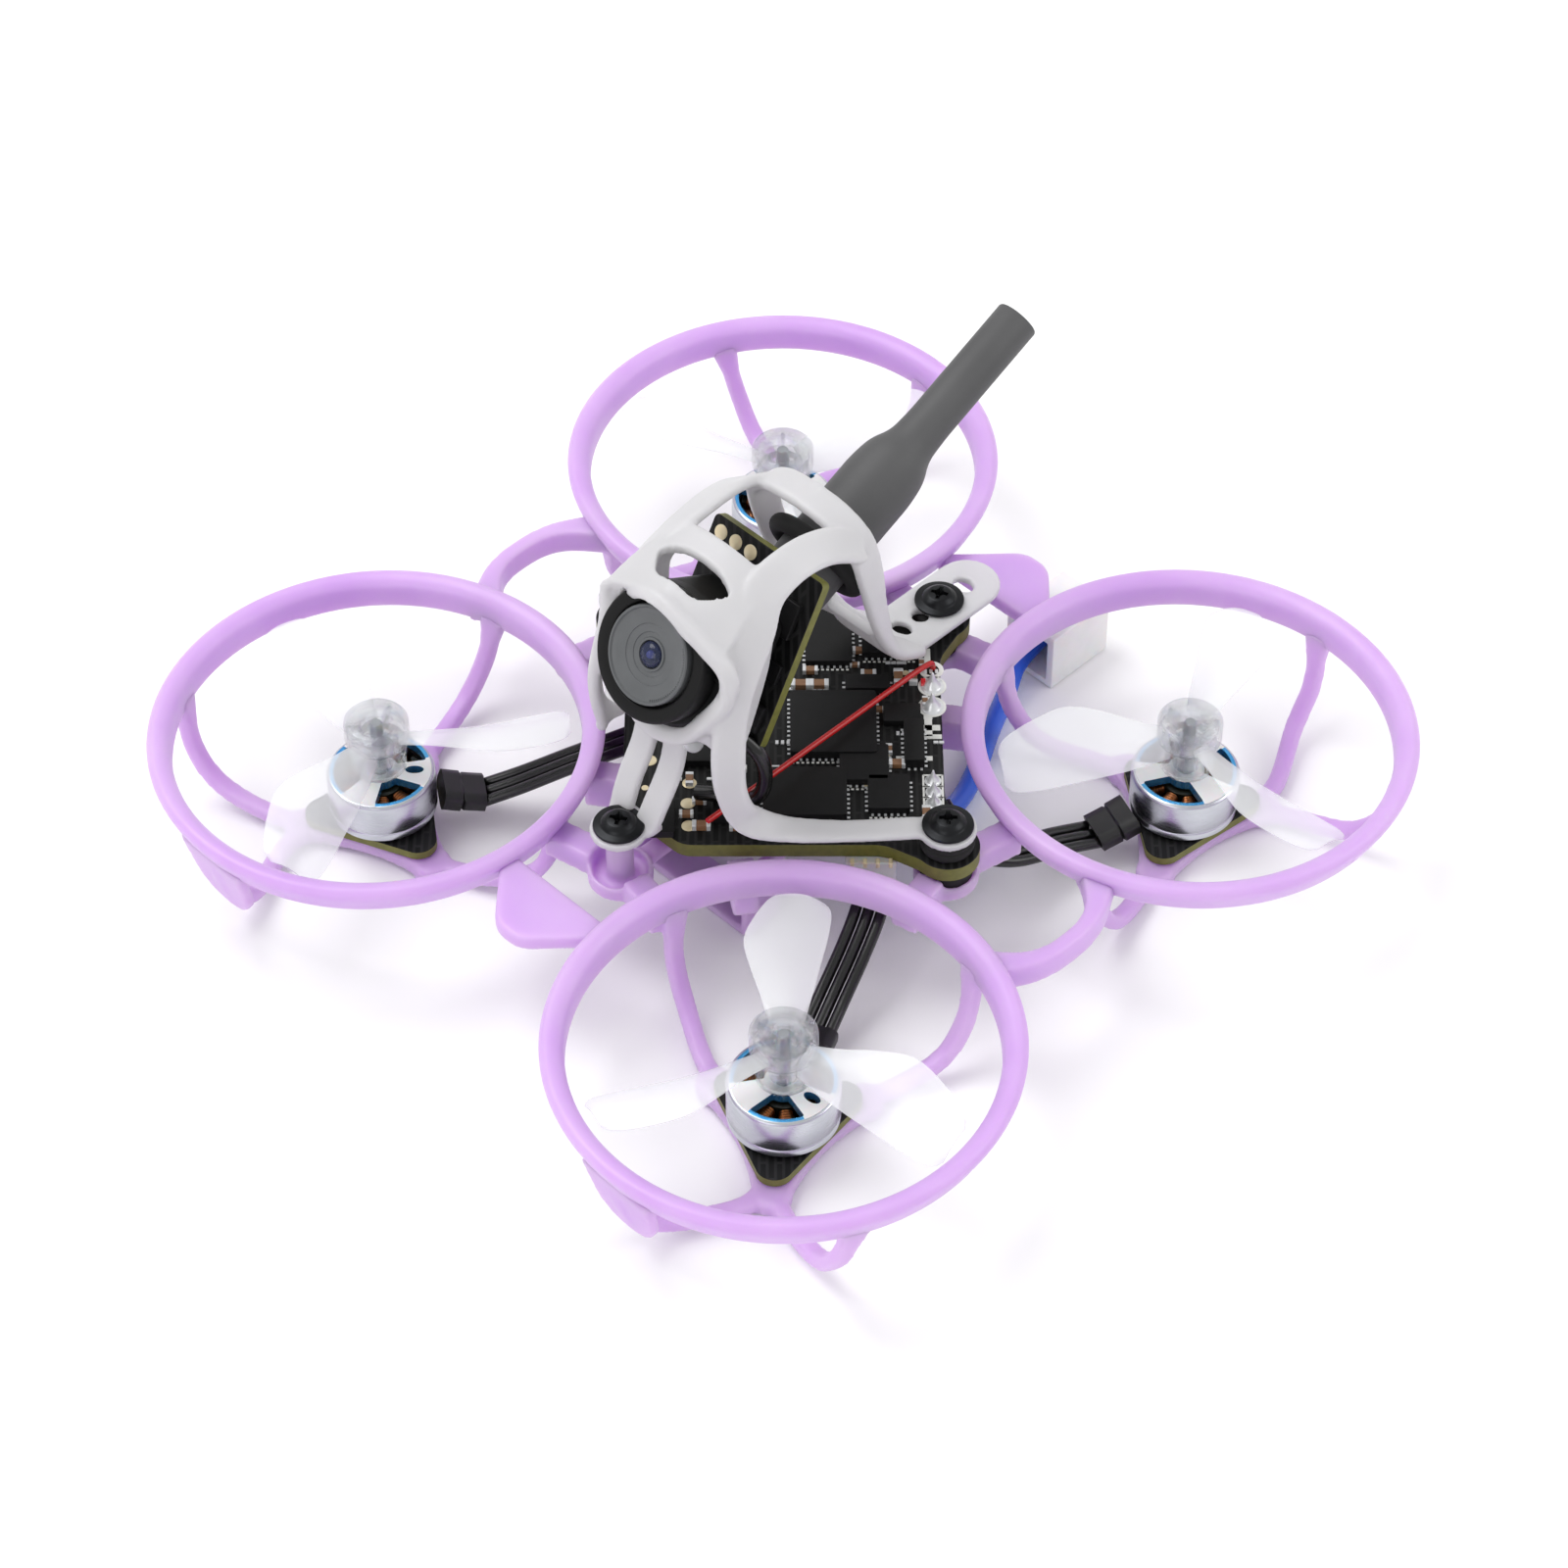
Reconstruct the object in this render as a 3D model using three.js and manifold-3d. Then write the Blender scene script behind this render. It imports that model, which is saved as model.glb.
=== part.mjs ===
// A small ducted racing quadcopter, in millimetres, +Z up, nose towards -Y.
// Every height below is measured from the rim plane of the four ducts; the whole group is
// then lifted by RIM_HEIGHT, so that the origin lies on the ground under the middle.

import * as THREE from 'three';
import { mergeVertices } from 'three/addons/utils/BufferGeometryUtils.js';
import Module from 'manifold-3d';

const wasm = await Module();
wasm.setup();

// ---------------------------------------------------------------- driving dimensions

const WHEELBASE = 65;                        // motor to motor, across the diagonal
const ARM = WHEELBASE / 2 / Math.SQRT2;      // motor axis from the middle, along X and along Y
const RIM_HEIGHT = 11.3;                     // rim plane above the ground
const GROUND = -RIM_HEIGHT;

const RIM_INNER = 16.4;
const RIM_OUTER = 18.35;
const RIM_BOTTOM = -2.3;
const PROP_RADIUS = 15.45;

const MOUNT = 18.03;                         // mounting screws, from the middle
const BOARD_HALF = 12.7;                     // flight board, half of its square side
const BOARD_THICK = 1.4;
const CUP_FLOOR = -3.8;
const WEB_TOP = -1.6;                       // webs pass just under the flight board

const CAMERA_TILT = THREE.MathUtils.degToRad(29);
const VIDEO_CENTRE = [0, -4.6, 14.05];       // middle of the video board

const BAY_HALF = 6;                          // half the width of the battery bay
const GAP = 0.06;                            // between solids that rest on each other

const QUADS = [
  { name: 'front_right', x: 1, y: -1, spin: 1, blade: 11 },
  { name: 'front_left', x: -1, y: -1, spin: -1, blade: 50 },
  { name: 'rear_right', x: 1, y: 1, spin: -1, blade: 115 },
  { name: 'rear_left', x: -1, y: 1, spin: 1, blade: 75 },
];

// ---------------------------------------------------------------- materials

const finish = (color, roughness, metalness = 0, opacity = 1) =>
  new THREE.MeshStandardMaterial({ color, roughness, metalness, opacity, transparent: opacity < 1 });

const LAVENDER = finish(0xcda3df, 0.4);
const CANOPY_WHITE = finish(0xe3e2e4, 0.45);
const CLEAR = finish(0xf2f4f6, 0.08, 0, 0.4);
const BELL_SILVER = finish(0xc9ccd0, 0.3, 1);
const SHAFT_STEEL = finish(0xb8bbc0, 0.25, 1);
const COPPER = finish(0x9a5a2c, 0.35, 1);
const BOARD_BLACK = finish(0x121212, 0.45);
const RUBBER_BLACK = finish(0x161616, 0.6);
const SLEEVE_GREY = finish(0x4a4a4a, 0.6);
const CHIP_BLACK = finish(0x202022, 0.5);
const CAMERA_BLACK = finish(0x151516, 0.5);
const LENS_GREY = finish(0x5a5a5c, 0.4);
const GLASS = finish(0x2b3350, 0.05, 0, 0.6);
const SCREW_BLACK = finish(0x2a2c2e, 0.35, 1);
const WIRE_BLACK = finish(0x0e0e0f, 0.5);
const WIRE_BLUE = finish(0x2e62d9, 0.5);
const WIRE_RED = finish(0xb3141c, 0.3);
const PLUG_WHITE = finish(0xeeeeee, 0.4);

// ---------------------------------------------------------------- geometry helpers

const rad = THREE.MathUtils.degToRad;
const vec = (x, y, z) => new THREE.Vector3(x, y, z);
const polar = (r, degrees, z = 0) => vec(r * Math.cos(rad(degrees)), r * Math.sin(rad(degrees)), z);

function solid(geometry) {
  const bare = geometry.index ? geometry.toNonIndexed() : geometry.clone();
  for (const name of Object.keys(bare.attributes)) {
    if (name !== 'position') bare.deleteAttribute(name);
  }
  const merged = mergeVertices(bare, 1e-4);
  return new wasm.Manifold(new wasm.Mesh({
    numProp: 3,
    vertProperties: merged.attributes.position.array,
    triVerts: Uint32Array.from(merged.index.array),
  }));
}

function geometryOf(manifold) {
  const mesh = manifold.getMesh();
  const geometry = new THREE.BufferGeometry();
  geometry.setAttribute('position', new THREE.BufferAttribute(mesh.vertProperties, 3));
  geometry.setIndex(new THREE.BufferAttribute(mesh.triVerts, 1));
  return geometry;
}

const union = (solids) => solids.reduce((sum, next) => sum.add(next));

// a box between two corners
function box([x0, y0, z0], [x1, y1, z1]) {
  const geometry = new THREE.BoxGeometry(x1 - x0, y1 - y0, z1 - z0);
  return geometry.translate((x0 + x1) / 2, (y0 + y1) / 2, (z0 + z1) / 2);
}

// a solid of revolution about +Z; the profile is [radius, height] pairs, running upwards
function lathe(profile, segments) {
  const points = profile.map(([r, z]) => new THREE.Vector2(r, z));
  return new THREE.LatheGeometry(points, segments).rotateX(Math.PI / 2);
}

function cylinder(radius, z0, z1, segments = 24) {
  return lathe([[0, z0], [radius, z0], [radius, z1], [0, z1]], segments);
}

// an outline in the XY plane, raised from z0 to z1
function slab(shape, z0, z1, curveSegments = 8) {
  const geometry = new THREE.ExtrudeGeometry(shape, {
    depth: z1 - z0, bevelEnabled: false, curveSegments,
  });
  return geometry.translate(0, 0, z0);
}

const outline = (points) => new THREE.Shape(points.map(([x, y]) => new THREE.Vector2(x, y)));

// a closed skin over a row of loops that all have the same number of points
function loft(loops) {
  const positions = loops.flat().flatMap((p) => [p.x, p.y, p.z]);
  const count = loops[0].length;
  const faces = [];
  for (let i = 0; i + 1 < loops.length; i += 1) {
    for (let j = 0; j < count; j += 1) {
      const a = i * count + j;
      const b = i * count + (j + 1) % count;
      faces.push(a, b, b + count, a, b + count, a + count);
    }
  }
  const last = (loops.length - 1) * count;
  for (let j = 1; j + 1 < count; j += 1) {
    faces.push(0, j + 1, j, last, last + j, last + j + 1);
  }
  const geometry = new THREE.BufferGeometry();
  geometry.setAttribute('position', new THREE.Float32BufferAttribute(positions, 3));
  geometry.setIndex(faces);
  return signedVolume(geometry) < 0 ? flipped(geometry) : geometry;
}

function signedVolume(geometry) {
  const position = geometry.attributes.position;
  const index = geometry.index.array;
  const corner = (i) => new THREE.Vector3().fromBufferAttribute(position, index[i]);
  let volume = 0;
  for (let i = 0; i < index.length; i += 3) {
    volume += corner(i).dot(corner(i + 1).cross(corner(i + 2)));
  }
  return volume;
}

function flipped(geometry) {
  const index = geometry.index.array;
  for (let i = 0; i < index.length; i += 3) {
    [index[i], index[i + 1]] = [index[i + 1], index[i]];
  }
  return geometry;
}

const at = (value, t) => (typeof value === 'function' ? value(t) : value);

// a flat strip along a curve through the points; side gives the direction of its width
function strip(points, side, width, thick, steps = 12) {
  const curve = new THREE.CatmullRomCurve3(points, false, 'centripetal');
  const loops = [];
  for (let i = 0; i <= steps; i += 1) {
    const t = i / steps;
    const centre = curve.getPoint(t);
    const tangent = curve.getTangent(t);
    const across = at(side, t).clone();
    across.addScaledVector(tangent, -across.dot(tangent)).normalize();
    const normal = tangent.clone().cross(across).normalize();
    const half = at(width, t) / 2;
    const depth = at(thick, t) / 2;
    loops.push([[-1, -1], [1, -1], [1, 1], [-1, 1]].map(([a, b]) => centre.clone()
      .addScaledVector(across, a * half)
      .addScaledVector(normal, b * depth)));
  }
  return loft(loops);
}

// a round tube along a curve through the points, closed at both ends
function tube(points, radius, steps, sides = 8) {
  const curve = new THREE.CatmullRomCurve3(points, false, 'centripetal');
  const section = new THREE.Shape();
  for (let i = 0; i < sides; i += 1) {
    const turn = (i / sides) * 2 * Math.PI;
    const corner = [radius * Math.cos(turn), radius * Math.sin(turn)];
    if (i === 0) section.moveTo(...corner);
    else section.lineTo(...corner);
  }
  section.closePath();
  return new THREE.ExtrudeGeometry(section, {
    steps, extrudePath: curve, bevelEnabled: false, curveSegments: 1,
  });
}

// a ring of round section through the points of a closed curve
function ringTube(points, radius, steps, sides = 8) {
  const curve = new THREE.CatmullRomCurve3(points, true, 'centripetal');
  return new THREE.TubeGeometry(curve, steps, radius, sides, true);
}

const mirrorX = (p) => vec(-p.x, p.y, p.z);

// ---------------------------------------------------------------- duct frame

const RIM_PROFILE = [
  [RIM_INNER, RIM_BOTTOM], [17.45, RIM_BOTTOM], [RIM_OUTER, -0.2], [17.9, 0.42], [17.3, 0.42],
  [RIM_INNER, -0.45], [RIM_INNER, RIM_BOTTOM],
];
const RIM_SEGMENTS = 36;

// azimuths on the front right duct: pad corner, lowest outer point, foot of the rim
const SPOKES = [
  { corner: -53, low: -88, rim: -92 },
  { corner: -53, low: -34, rim: -27 },
  { corner: 67, low: 71, rim: 76 },
  { corner: 187, low: 169, rim: 165 },
];
const PAD_CORNERS = [-53, 67, 187];
const PAD_TOP = -9.75;
const SPOKE_WIDTH = 1.4;
const SPOKE_THICK = 1.3;

function spoke({ corner, low, rim }) {
  const middle = corner + (low - corner) * 0.35;
  const points = [
    polar(5.2, corner, -10.45), polar(8, middle, -10.4), polar(13.6, low, -9.3),
    polar(16, (low + rim) / 2, -6.4), polar(16.9, rim, -1.8),
  ];
  return strip(points, vec(-Math.sin(rad(rim)), Math.cos(rad(rim)), 0), SPOKE_WIDTH, SPOKE_THICK, 6);
}

// rounded three-cornered plate: arcs at the corners, straight or hollowed flanks
function cornerPlate(reach, radius, hollow) {
  const shape = new THREE.Shape();
  PAD_CORNERS.forEach((angle, i) => {
    const c = polar(reach, angle);
    if (i > 0 && hollow) {
      const mid = polar(hollow, angle - 60);
      const entry = c.clone().add(polar(radius, angle - 70));
      shape.quadraticCurveTo(mid.x, mid.y, entry.x, entry.y);
    }
    shape.absarc(c.x, c.y, radius, rad(angle - 70), rad(angle + 70), false);
  });
  if (hollow) {
    const mid = polar(hollow, PAD_CORNERS[0] - 60);
    const start = polar(reach, PAD_CORNERS[0]).add(polar(radius, PAD_CORNERS[0] - 70));
    shape.quadraticCurveTo(mid.x, mid.y, start.x, start.y);
  }
  shape.closePath();
  return shape;
}

function ductQuarter() {
  const parts = [solid(lathe(RIM_PROFILE, RIM_SEGMENTS))];
  SPOKES.forEach((place) => parts.push(solid(spoke(place))));
  parts.push(solid(slab(cornerPlate(5.6, 1.7, 3.4), -11, PAD_TOP, 1)));
  PAD_CORNERS.forEach((angle) => {
    const boss = polar(6.65, angle);
    const foot = cylinder(1.55, GROUND, PAD_TOP - 0.25, 7).rotateZ(rad(angle + 10));
    parts.push(solid(foot.translate(boss.x, boss.y, 0)));
  });
  return union(parts);
}

// the filled fan between the front spoke and the rim of a front duct
function rimFan() {
  const shape = new THREE.Shape();
  shape.absarc(0, -5.1, 3.1, Math.PI, 2 * Math.PI, false);
  shape.lineTo(3.3, -1.6);
  shape.lineTo(-3.3, -1.6);
  shape.closePath();
  const fan = new THREE.ExtrudeGeometry(shape, { depth: 1, bevelEnabled: false, curveSegments: 5 });
  fan.rotateX(Math.PI / 2).rotateX(rad(13)).translate(0, -17.05, 0);
  return solid(fan);
}

function sideArm(sign) {
  const shape = new THREE.Shape();
  shape.moveTo(sign * 28.2, -7);
  shape.quadraticCurveTo(sign * 33.4, 0, sign * 28.2, 7);
  shape.lineTo(sign * 27.2, 6.2);
  shape.quadraticCurveTo(sign * 31.4, 0, sign * 27.2, -6.2);
  shape.closePath();
  return solid(slab(shape, RIM_BOTTOM - 0.6, -0.3, 5));
}

function bumper(side, z0, z1) {
  const plate = outline([
    [-6.9, side * 24.2], [6.9, side * 24.2], [1.3, side * 30.1], [0.6, side * 30.5],
    [-0.6, side * 30.5], [-1.3, side * 30.1],
  ]);
  return solid(slab(plate, z0, z1));
}

// screw posts: [x, y, height of the post's top]
const POSTS = [[0, -MOUNT, 1.5], [MOUNT, 0, -3.05], [-MOUNT, 0, -3.05], [0, MOUNT, -3.05]];
const SCREW_HOLE = 0.62;

function cup([x, y, top]) {
  const profile = [
    [0, CUP_FLOOR], [2.55, CUP_FLOOR], [2.55, -2.4], [2.25, -2.4], [2.25, -3.3],
    [1.08, -3.3], [1.08, top], [0, top],
  ];
  const parts = [solid(lathe(profile, 12).translate(x, y, 0))];
  const alongX = x === 0;
  for (const sign of [-1, 1]) {
    const duct = alongX ? vec(sign * ARM, Math.sign(y) * ARM, 0) : vec(Math.sign(x) * ARM, sign * ARM, 0);
    const start = vec(x, y, 0);
    const reach = start.distanceTo(duct) - (RIM_INNER + 0.6);
    const web = box([2.3, -1.3, CUP_FLOOR], [reach, 1.3, WEB_TOP]);
    web.rotateZ(Math.atan2(duct.y - y, duct.x - x)).translate(x, y, 0);
    parts.push(solid(web));
  }
  return union(parts);
}

function batteryTray() {
  const wall = 0.9;
  const outer = BAY_HALF + wall;
  const parts = [];
  for (const side of [-1, 1]) {
    const x0 = side > 0 ? BAY_HALF : -outer;
    const rail = box([x0, -12.5, -5.1], [x0 + wall, 12.5, CUP_FLOOR]);
    parts.push(solid(rail));
    for (const end of [-1, 1]) {
      const y0 = end > 0 ? 7 : -11;
      parts.push(solid(box([x0, y0, GROUND], [x0 + wall, y0 + 4, -5])));
      const from = vec(side * (BAY_HALF + 0.5), end * 11.3, 0);
      const duct = vec(side * ARM, end * ARM, 0);
      const reach = from.distanceTo(duct) - (RIM_INNER + 0.6);
      const web = box([0, -1.2, -4.9], [reach, 1.2, WEB_TOP]);
      web.rotateZ(Math.atan2(duct.y - from.y, duct.x - from.x)).translate(from.x, from.y, 0);
      parts.push(solid(web));
    }
    const [x1, x2] = [side * (outer - 0.2), side * (MOUNT - 2.3)].sort((a, b) => a - b);
    parts.push(solid(box([x1, -0.8, CUP_FLOOR], [x2, 0.8, -2.7])));
  }
  for (const end of [-1, 1]) {
    const y0 = end > 0 ? 7 : -11;
    parts.push(solid(box([-outer, y0, GROUND], [outer, y0 + 4, GROUND + 0.7])));
    parts.push(solid(box([-outer, end * 5.4 - 0.8, CUP_FLOOR - 0.2], [outer, end * 5.4 + 0.8, -2.9])));
  }
  parts.push(solid(box([-outer, -0.8, CUP_FLOOR], [outer, 0.8, -2.9])));
  for (const end of [-1, 1]) {
    const y = [end * 6, end * (MOUNT - 2.3)].sort((a, b) => a - b);
    parts.push(solid(box([-0.9, y[0], CUP_FLOOR], [0.9, y[1], -2.9])));
  }
  return union(parts);
}

function ductFrame() {
  const quarter = ductQuarter();
  const fan = rimFan();
  const parts = QUADS.map(({ x, y }) => {
    const duct = y < 0 ? quarter.add(fan) : quarter;
    const mirrored = x * y < 0 ? duct : duct.mirror([1, 0, 0]);
    const turned = y < 0 ? mirrored : mirrored.rotate([0, 0, 180]);
    return turned.translate([x * ARM, y * ARM, 0]);
  });
  parts.push(sideArm(1), sideArm(-1), bumper(-1, -1.7, -0.4), bumper(1, -2.9, -1.6));
  POSTS.forEach((post) => parts.push(cup(post)));
  parts.push(batteryTray());
  let frame = union(parts);
  POSTS.forEach(([x, y]) => {
    frame = frame.subtract(solid(cylinder(SCREW_HOLE, -3.5, 2, 6).translate(x, y, 0)));
  });
  return geometryOf(frame);
}

// ---------------------------------------------------------------- motors and propellers

const BELL_RADIUS = 4.4;
const BELL_TOP = -4.75;
const BELL_BOTTOM = -8.6;
const MOTOR_BOARD = [PAD_TOP + GAP, -8.85];
const SHAFT_RADIUS = 0.5;
const SHAFT_HOLE = 0.62;

function motorBoard() {
  return slab(cornerPlate(4.9, 1.5, 0), ...MOTOR_BOARD, 3);
}

const STATOR_TEETH = 9;

function stator() {
  const top = -5.9;
  const base = MOTOR_BOARD[1] + GAP;
  const core = lathe([
    [SHAFT_HOLE, base], [1.8, base], [1.8, top], [SHAFT_HOLE, top], [SHAFT_HOLE, base],
  ], 12);
  const star = new THREE.Shape();
  for (let i = 0; i < STATOR_TEETH; i += 1) {
    const angle = (i / STATOR_TEETH) * 360;
    const corners = [
      polar(1.75, angle - 15), polar(3.6, angle - 9), polar(3.6, angle + 9), polar(1.75, angle + 15),
    ];
    corners.forEach((c, k) => (i + k === 0 ? star.moveTo(c.x, c.y) : star.lineTo(c.x, c.y)));
  }
  star.closePath();
  const teeth = slab(star, -8.05, -6.1);
  const bore = cylinder(1.2, -9, -5, 12);
  return geometryOf(solid(teeth).subtract(solid(bore)).add(solid(core)));
}

// a window in the bell's top between two spokes, as a piece of a ring
function bellWindow(start, end) {
  const shape = new THREE.Shape();
  shape.absarc(0, 0, 3.6, rad(start), rad(end), false);
  shape.absarc(0, 0, 1.75, rad(end - 8), rad(start + 8), true);
  shape.closePath();
  return solid(slab(shape, -7, -4, 2));
}

function motorBell() {
  const shell = lathe([
    [SHAFT_HOLE, -5.55], [3.85, -5.55], [3.85, BELL_BOTTOM], [BELL_RADIUS, BELL_BOTTOM],
    [BELL_RADIUS, BELL_TOP - 0.3], [4.1, BELL_TOP], [SHAFT_HOLE, BELL_TOP], [SHAFT_HOLE, -5.55],
  ], 18);
  let bell = solid(shell);
  [[15, 95], [135, 215], [265, 325]].forEach((range) => {
    bell = bell.subtract(bellWindow(...range));
  });
  const loop = new THREE.Shape();
  const centre = polar(2.75, 355);
  loop.absellipse(centre.x, centre.y, 0.75, 0.42, 0, 2 * Math.PI, false, rad(355));
  return geometryOf(bell.subtract(solid(slab(loop, -7, -4, 2))));
}

function motorShaft() {
  return cylinder(SHAFT_RADIUS, -8.6, 0.7, 8);
}

const HUB_TOP = 1.05;
const BLADE_STATIONS = 5;

// distances from the blade's radial line to its two edges at radius r
function bladeEdges(r) {
  const s = (r - 2) / (PROP_RADIUS - 2);
  const bulge = 2 + 2.3 * Math.sin(Math.PI * Math.min(1, 0.22 + 0.72 * s)) - 1.3 * s * s;
  return { lead: bulge, trail: 1.5 + 1.25 * s };
}

function blade(spin) {
  const loops = [];
  for (let i = 0; i < BLADE_STATIONS; i += 1) {
    const s = i / (BLADE_STATIONS - 1);
    const r = 1.6 + (PROP_RADIUS - 1.6) * Math.sin(s * Math.PI / 2) ** 1.15;
    const { lead, trail } = bladeEdges(Math.max(r, 2));
    const round = Math.sqrt(Math.max(0.12, 1 - ((r - 11) / 4.6) ** 4 * (r > 11 ? 0.88 : 0)));
    const pitch = rad(38 - 22 * s);
    const thick = 0.36 - 0.1 * s;
    const height = -1.7 + 0.5 * s;
    const ends = [-trail * (0.6 + 0.4 * round), lead * round];
    const across = (offset, lift) => vec(
      r,
      spin * (offset * Math.cos(pitch) - lift * Math.sin(pitch)),
      height + offset * Math.sin(pitch) + lift * Math.cos(pitch),
    );
    const middle = (ends[0] + ends[1]) / 2;
    loops.push([
      across(ends[0], 0), across(middle, -thick), across(ends[1], 0), across(middle, thick * 1.6),
    ]);
  }
  return solid(loft(loops));
}

function propeller(spin) {
  const hub = lathe([
    [SHAFT_HOLE, -4.1], [2.2, -4.1], [2.35, -1.3], [2.65, -1.1], [2.65, 0.8], [2.4, HUB_TOP],
    [SHAFT_HOLE, HUB_TOP], [SHAFT_HOLE, -4.1],
  ], 12);
  const bore = solid(cylinder(SHAFT_HOLE, -6, 2, 12));
  const vane = blade(spin);
  const blades = [0, 120, 240].map((turn) => vane.rotate([0, 0, turn]));
  return geometryOf(union([solid(hub), ...blades]).subtract(bore));
}

// ---------------------------------------------------------------- motor leads

const LEAD_RADIUS = 0.47;
const LEAD_PITCH = 1.02;

// middle lead of each motor: points from the sleeve to the flight board
const LEAD_ROUTES = {
  front_right: [
    [18.9, -15.3, -9], [17.9, -12.6, -8], [16.9, -9.2, -5.9], [16, -6.7, -4.3], [15.05, -5.05, -3.3],
  ],
  front_left: [
    [-18.3, -16.2, -9], [-16.2, -14, -7.6], [-13, -11.2, -5], [-10.8, -9.4, -3.3], [-9.3, -8.1, -2.15],
  ],
  rear_right: [
    [20, 15.4, -9], [19.2, 12.3, -8], [18, 7, -6.3], [15.9, 4.6, -4.9], [13.6, 3.9, -2.4],
  ],
  rear_left: [
    [-18.3, 16.2, -9], [-16.2, 14, -7.6], [-13, 11.2, -5], [-10.8, 9.4, -3.3], [-9.3, 8.1, -2.15],
  ],
};

function leadPoints(name, place) {
  const centre = LEAD_ROUTES[name].map((p) => vec(...p));
  const curve = new THREE.CatmullRomCurve3(centre, false, 'centripetal');
  return centre.map((p, i) => {
    const along = curve.getTangent(i / (centre.length - 1)).setZ(0).normalize();
    return p.clone().add(vec(-along.y, along.x, 0).multiplyScalar(place * LEAD_PITCH));
  });
}

// flat shrink sleeve over the three leads, from beside the bell to where they part
function leadSleeve(quad) {
  const motor = vec(quad.x * ARM, quad.y * ARM, -7.95);
  const leads = vec(...LEAD_ROUTES[quad.name][0]);
  const along = leads.clone().sub(motor).setZ(0).normalize();
  const start = motor.clone().addScaledVector(along, 4.75);
  const finish = leads.clone().addScaledVector(along, -0.4).setZ(-8.95);
  const middle = start.clone().lerp(finish, 0.5).setZ(-8.5);
  return strip([start, middle, finish], vec(-along.y, along.x, 0), 3.5, 1.5, 4);
}

// ---------------------------------------------------------------- flight board and its screws

const EARS = POSTS.slice(1).map(([x, y]) => [x, y]);

function flightBoard() {
  const square = slab(outline([
    [BOARD_HALF, -BOARD_HALF], [BOARD_HALF, BOARD_HALF],
    [-BOARD_HALF, BOARD_HALF], [-BOARD_HALF, -BOARD_HALF],
  ]), -BOARD_THICK, 0).rotateZ(Math.PI / 4);
  let board = solid(square);
  EARS.forEach(([x, y]) => {
    board = board.add(solid(cylinder(2.6, -BOARD_THICK, 0, 12).translate(x, y, 0)));
  });
  board = board.subtract(solid(box([-6, -20, -3], [6, -14.6, 3])));
  EARS.forEach(([x, y]) => {
    board = board.subtract(solid(cylinder(1.62, -3, 3, 10).translate(x, y, 0)));
  });
  return geometryOf(board);
}

function grommet(top) {
  return lathe([
    [0.7, -3.0], [2.1, -3.0], [2.1, -BOARD_THICK - GAP], [1.5, -BOARD_THICK - GAP], [1.5, GAP],
    [2.1, GAP], [2.1, top], [0.7, top], [0.7, -3.0],
  ], 10);
}

function screw(seat) {
  const body = solid(lathe([
    [0, -3.4], [0.5, -3.4], [0.5, seat], [2, seat], [2, seat + 0.3], [1.4, seat + 0.32],
    [1.2, seat + 0.8], [0, seat + 0.85],
  ], 10));
  const slotLength = 0.75;
  const bars = [box([-slotLength, -0.17, seat + 0.3], [slotLength, 0.17, seat + 1]),
    box([-0.17, -slotLength, seat + 0.3], [0.17, slotLength, seat + 1])];
  return geometryOf(body.subtract(union(bars.map(solid))));
}

// ---------------------------------------------------------------- camera, video board, antenna

// from the tilted camera frame (right, up, forward) to the drone's frame
const cameraMatrix = new THREE.Matrix4().makeBasis(
  vec(1, 0, 0),
  vec(0, Math.sin(CAMERA_TILT), Math.cos(CAMERA_TILT)),
  vec(0, -Math.cos(CAMERA_TILT), Math.sin(CAMERA_TILT)),
).setPosition(...VIDEO_CENTRE);
const LENS_UP = -1.05;

function videoBoard() {
  return box([-5.8, -7.3, -0.45], [5.8, 7.3, 0.45]);
}

function cameraHousing() {
  const body = solid(box([-4.2, LENS_UP - 4.2, 1], [4.2, LENS_UP + 4.2, 7.4]));
  const front = solid(cylinder(5.1, 7.2, 9.3, 20).translate(0, LENS_UP, 0));
  const recess = solid(cylinder(4.05, 8.1, 12, 20).translate(0, LENS_UP, 0));
  return geometryOf(body.add(front).subtract(recess));
}

function lensBarrel() {
  return lathe([
    [0, 8.16], [3.9, 8.16], [3.9, 10.05], [3.4, 9.8], [1.15, 9.5], [1.15, 9.2], [0, 9.2],
  ], 16).translate(0, LENS_UP, 0);
}

function lensGlass() {
  return lathe([
    [0, 9.26], [1.05, 9.26], [0.9, 9.75], [0, 10.08],
  ], 12).translate(0, LENS_UP, 0);
}

const ANTENNA_START = vec(0, -0.74, 14.43);
const ANTENNA_END = vec(0, 26, 27);

function antennaSleeve() {
  const length = ANTENNA_START.distanceTo(ANTENNA_END);
  return lathe([
    [0, 0], [3, 0], [3, 13.2], [2.6, 14.6], [1.8, 16], [1.8, length], [0, length],
  ], 14);
}

const ANTENNA_RING_AT = 4.9;

function antennaMatrix() {
  const along = ANTENNA_END.clone().sub(ANTENNA_START).normalize();
  const turn = new THREE.Quaternion().setFromUnitVectors(vec(0, 0, 1), along);
  return new THREE.Matrix4().compose(ANTENNA_START, turn, vec(1, 1, 1));
}

function antennaRing() {
  return new THREE.TorusGeometry(3.85, 0.72, 5, 16).translate(0, 0, ANTENNA_RING_AT);
}

// ---------------------------------------------------------------- canopy

const TAB_LOW = 1.56;
const TAB_HIGH = 2.16;
const REAR_SEAT = 1.76;                      // top of the rear strip
const REAR_END = 24.1;
const REAR_HOLES = [13.6, 15.8, MOUNT, 20.9];

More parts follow.
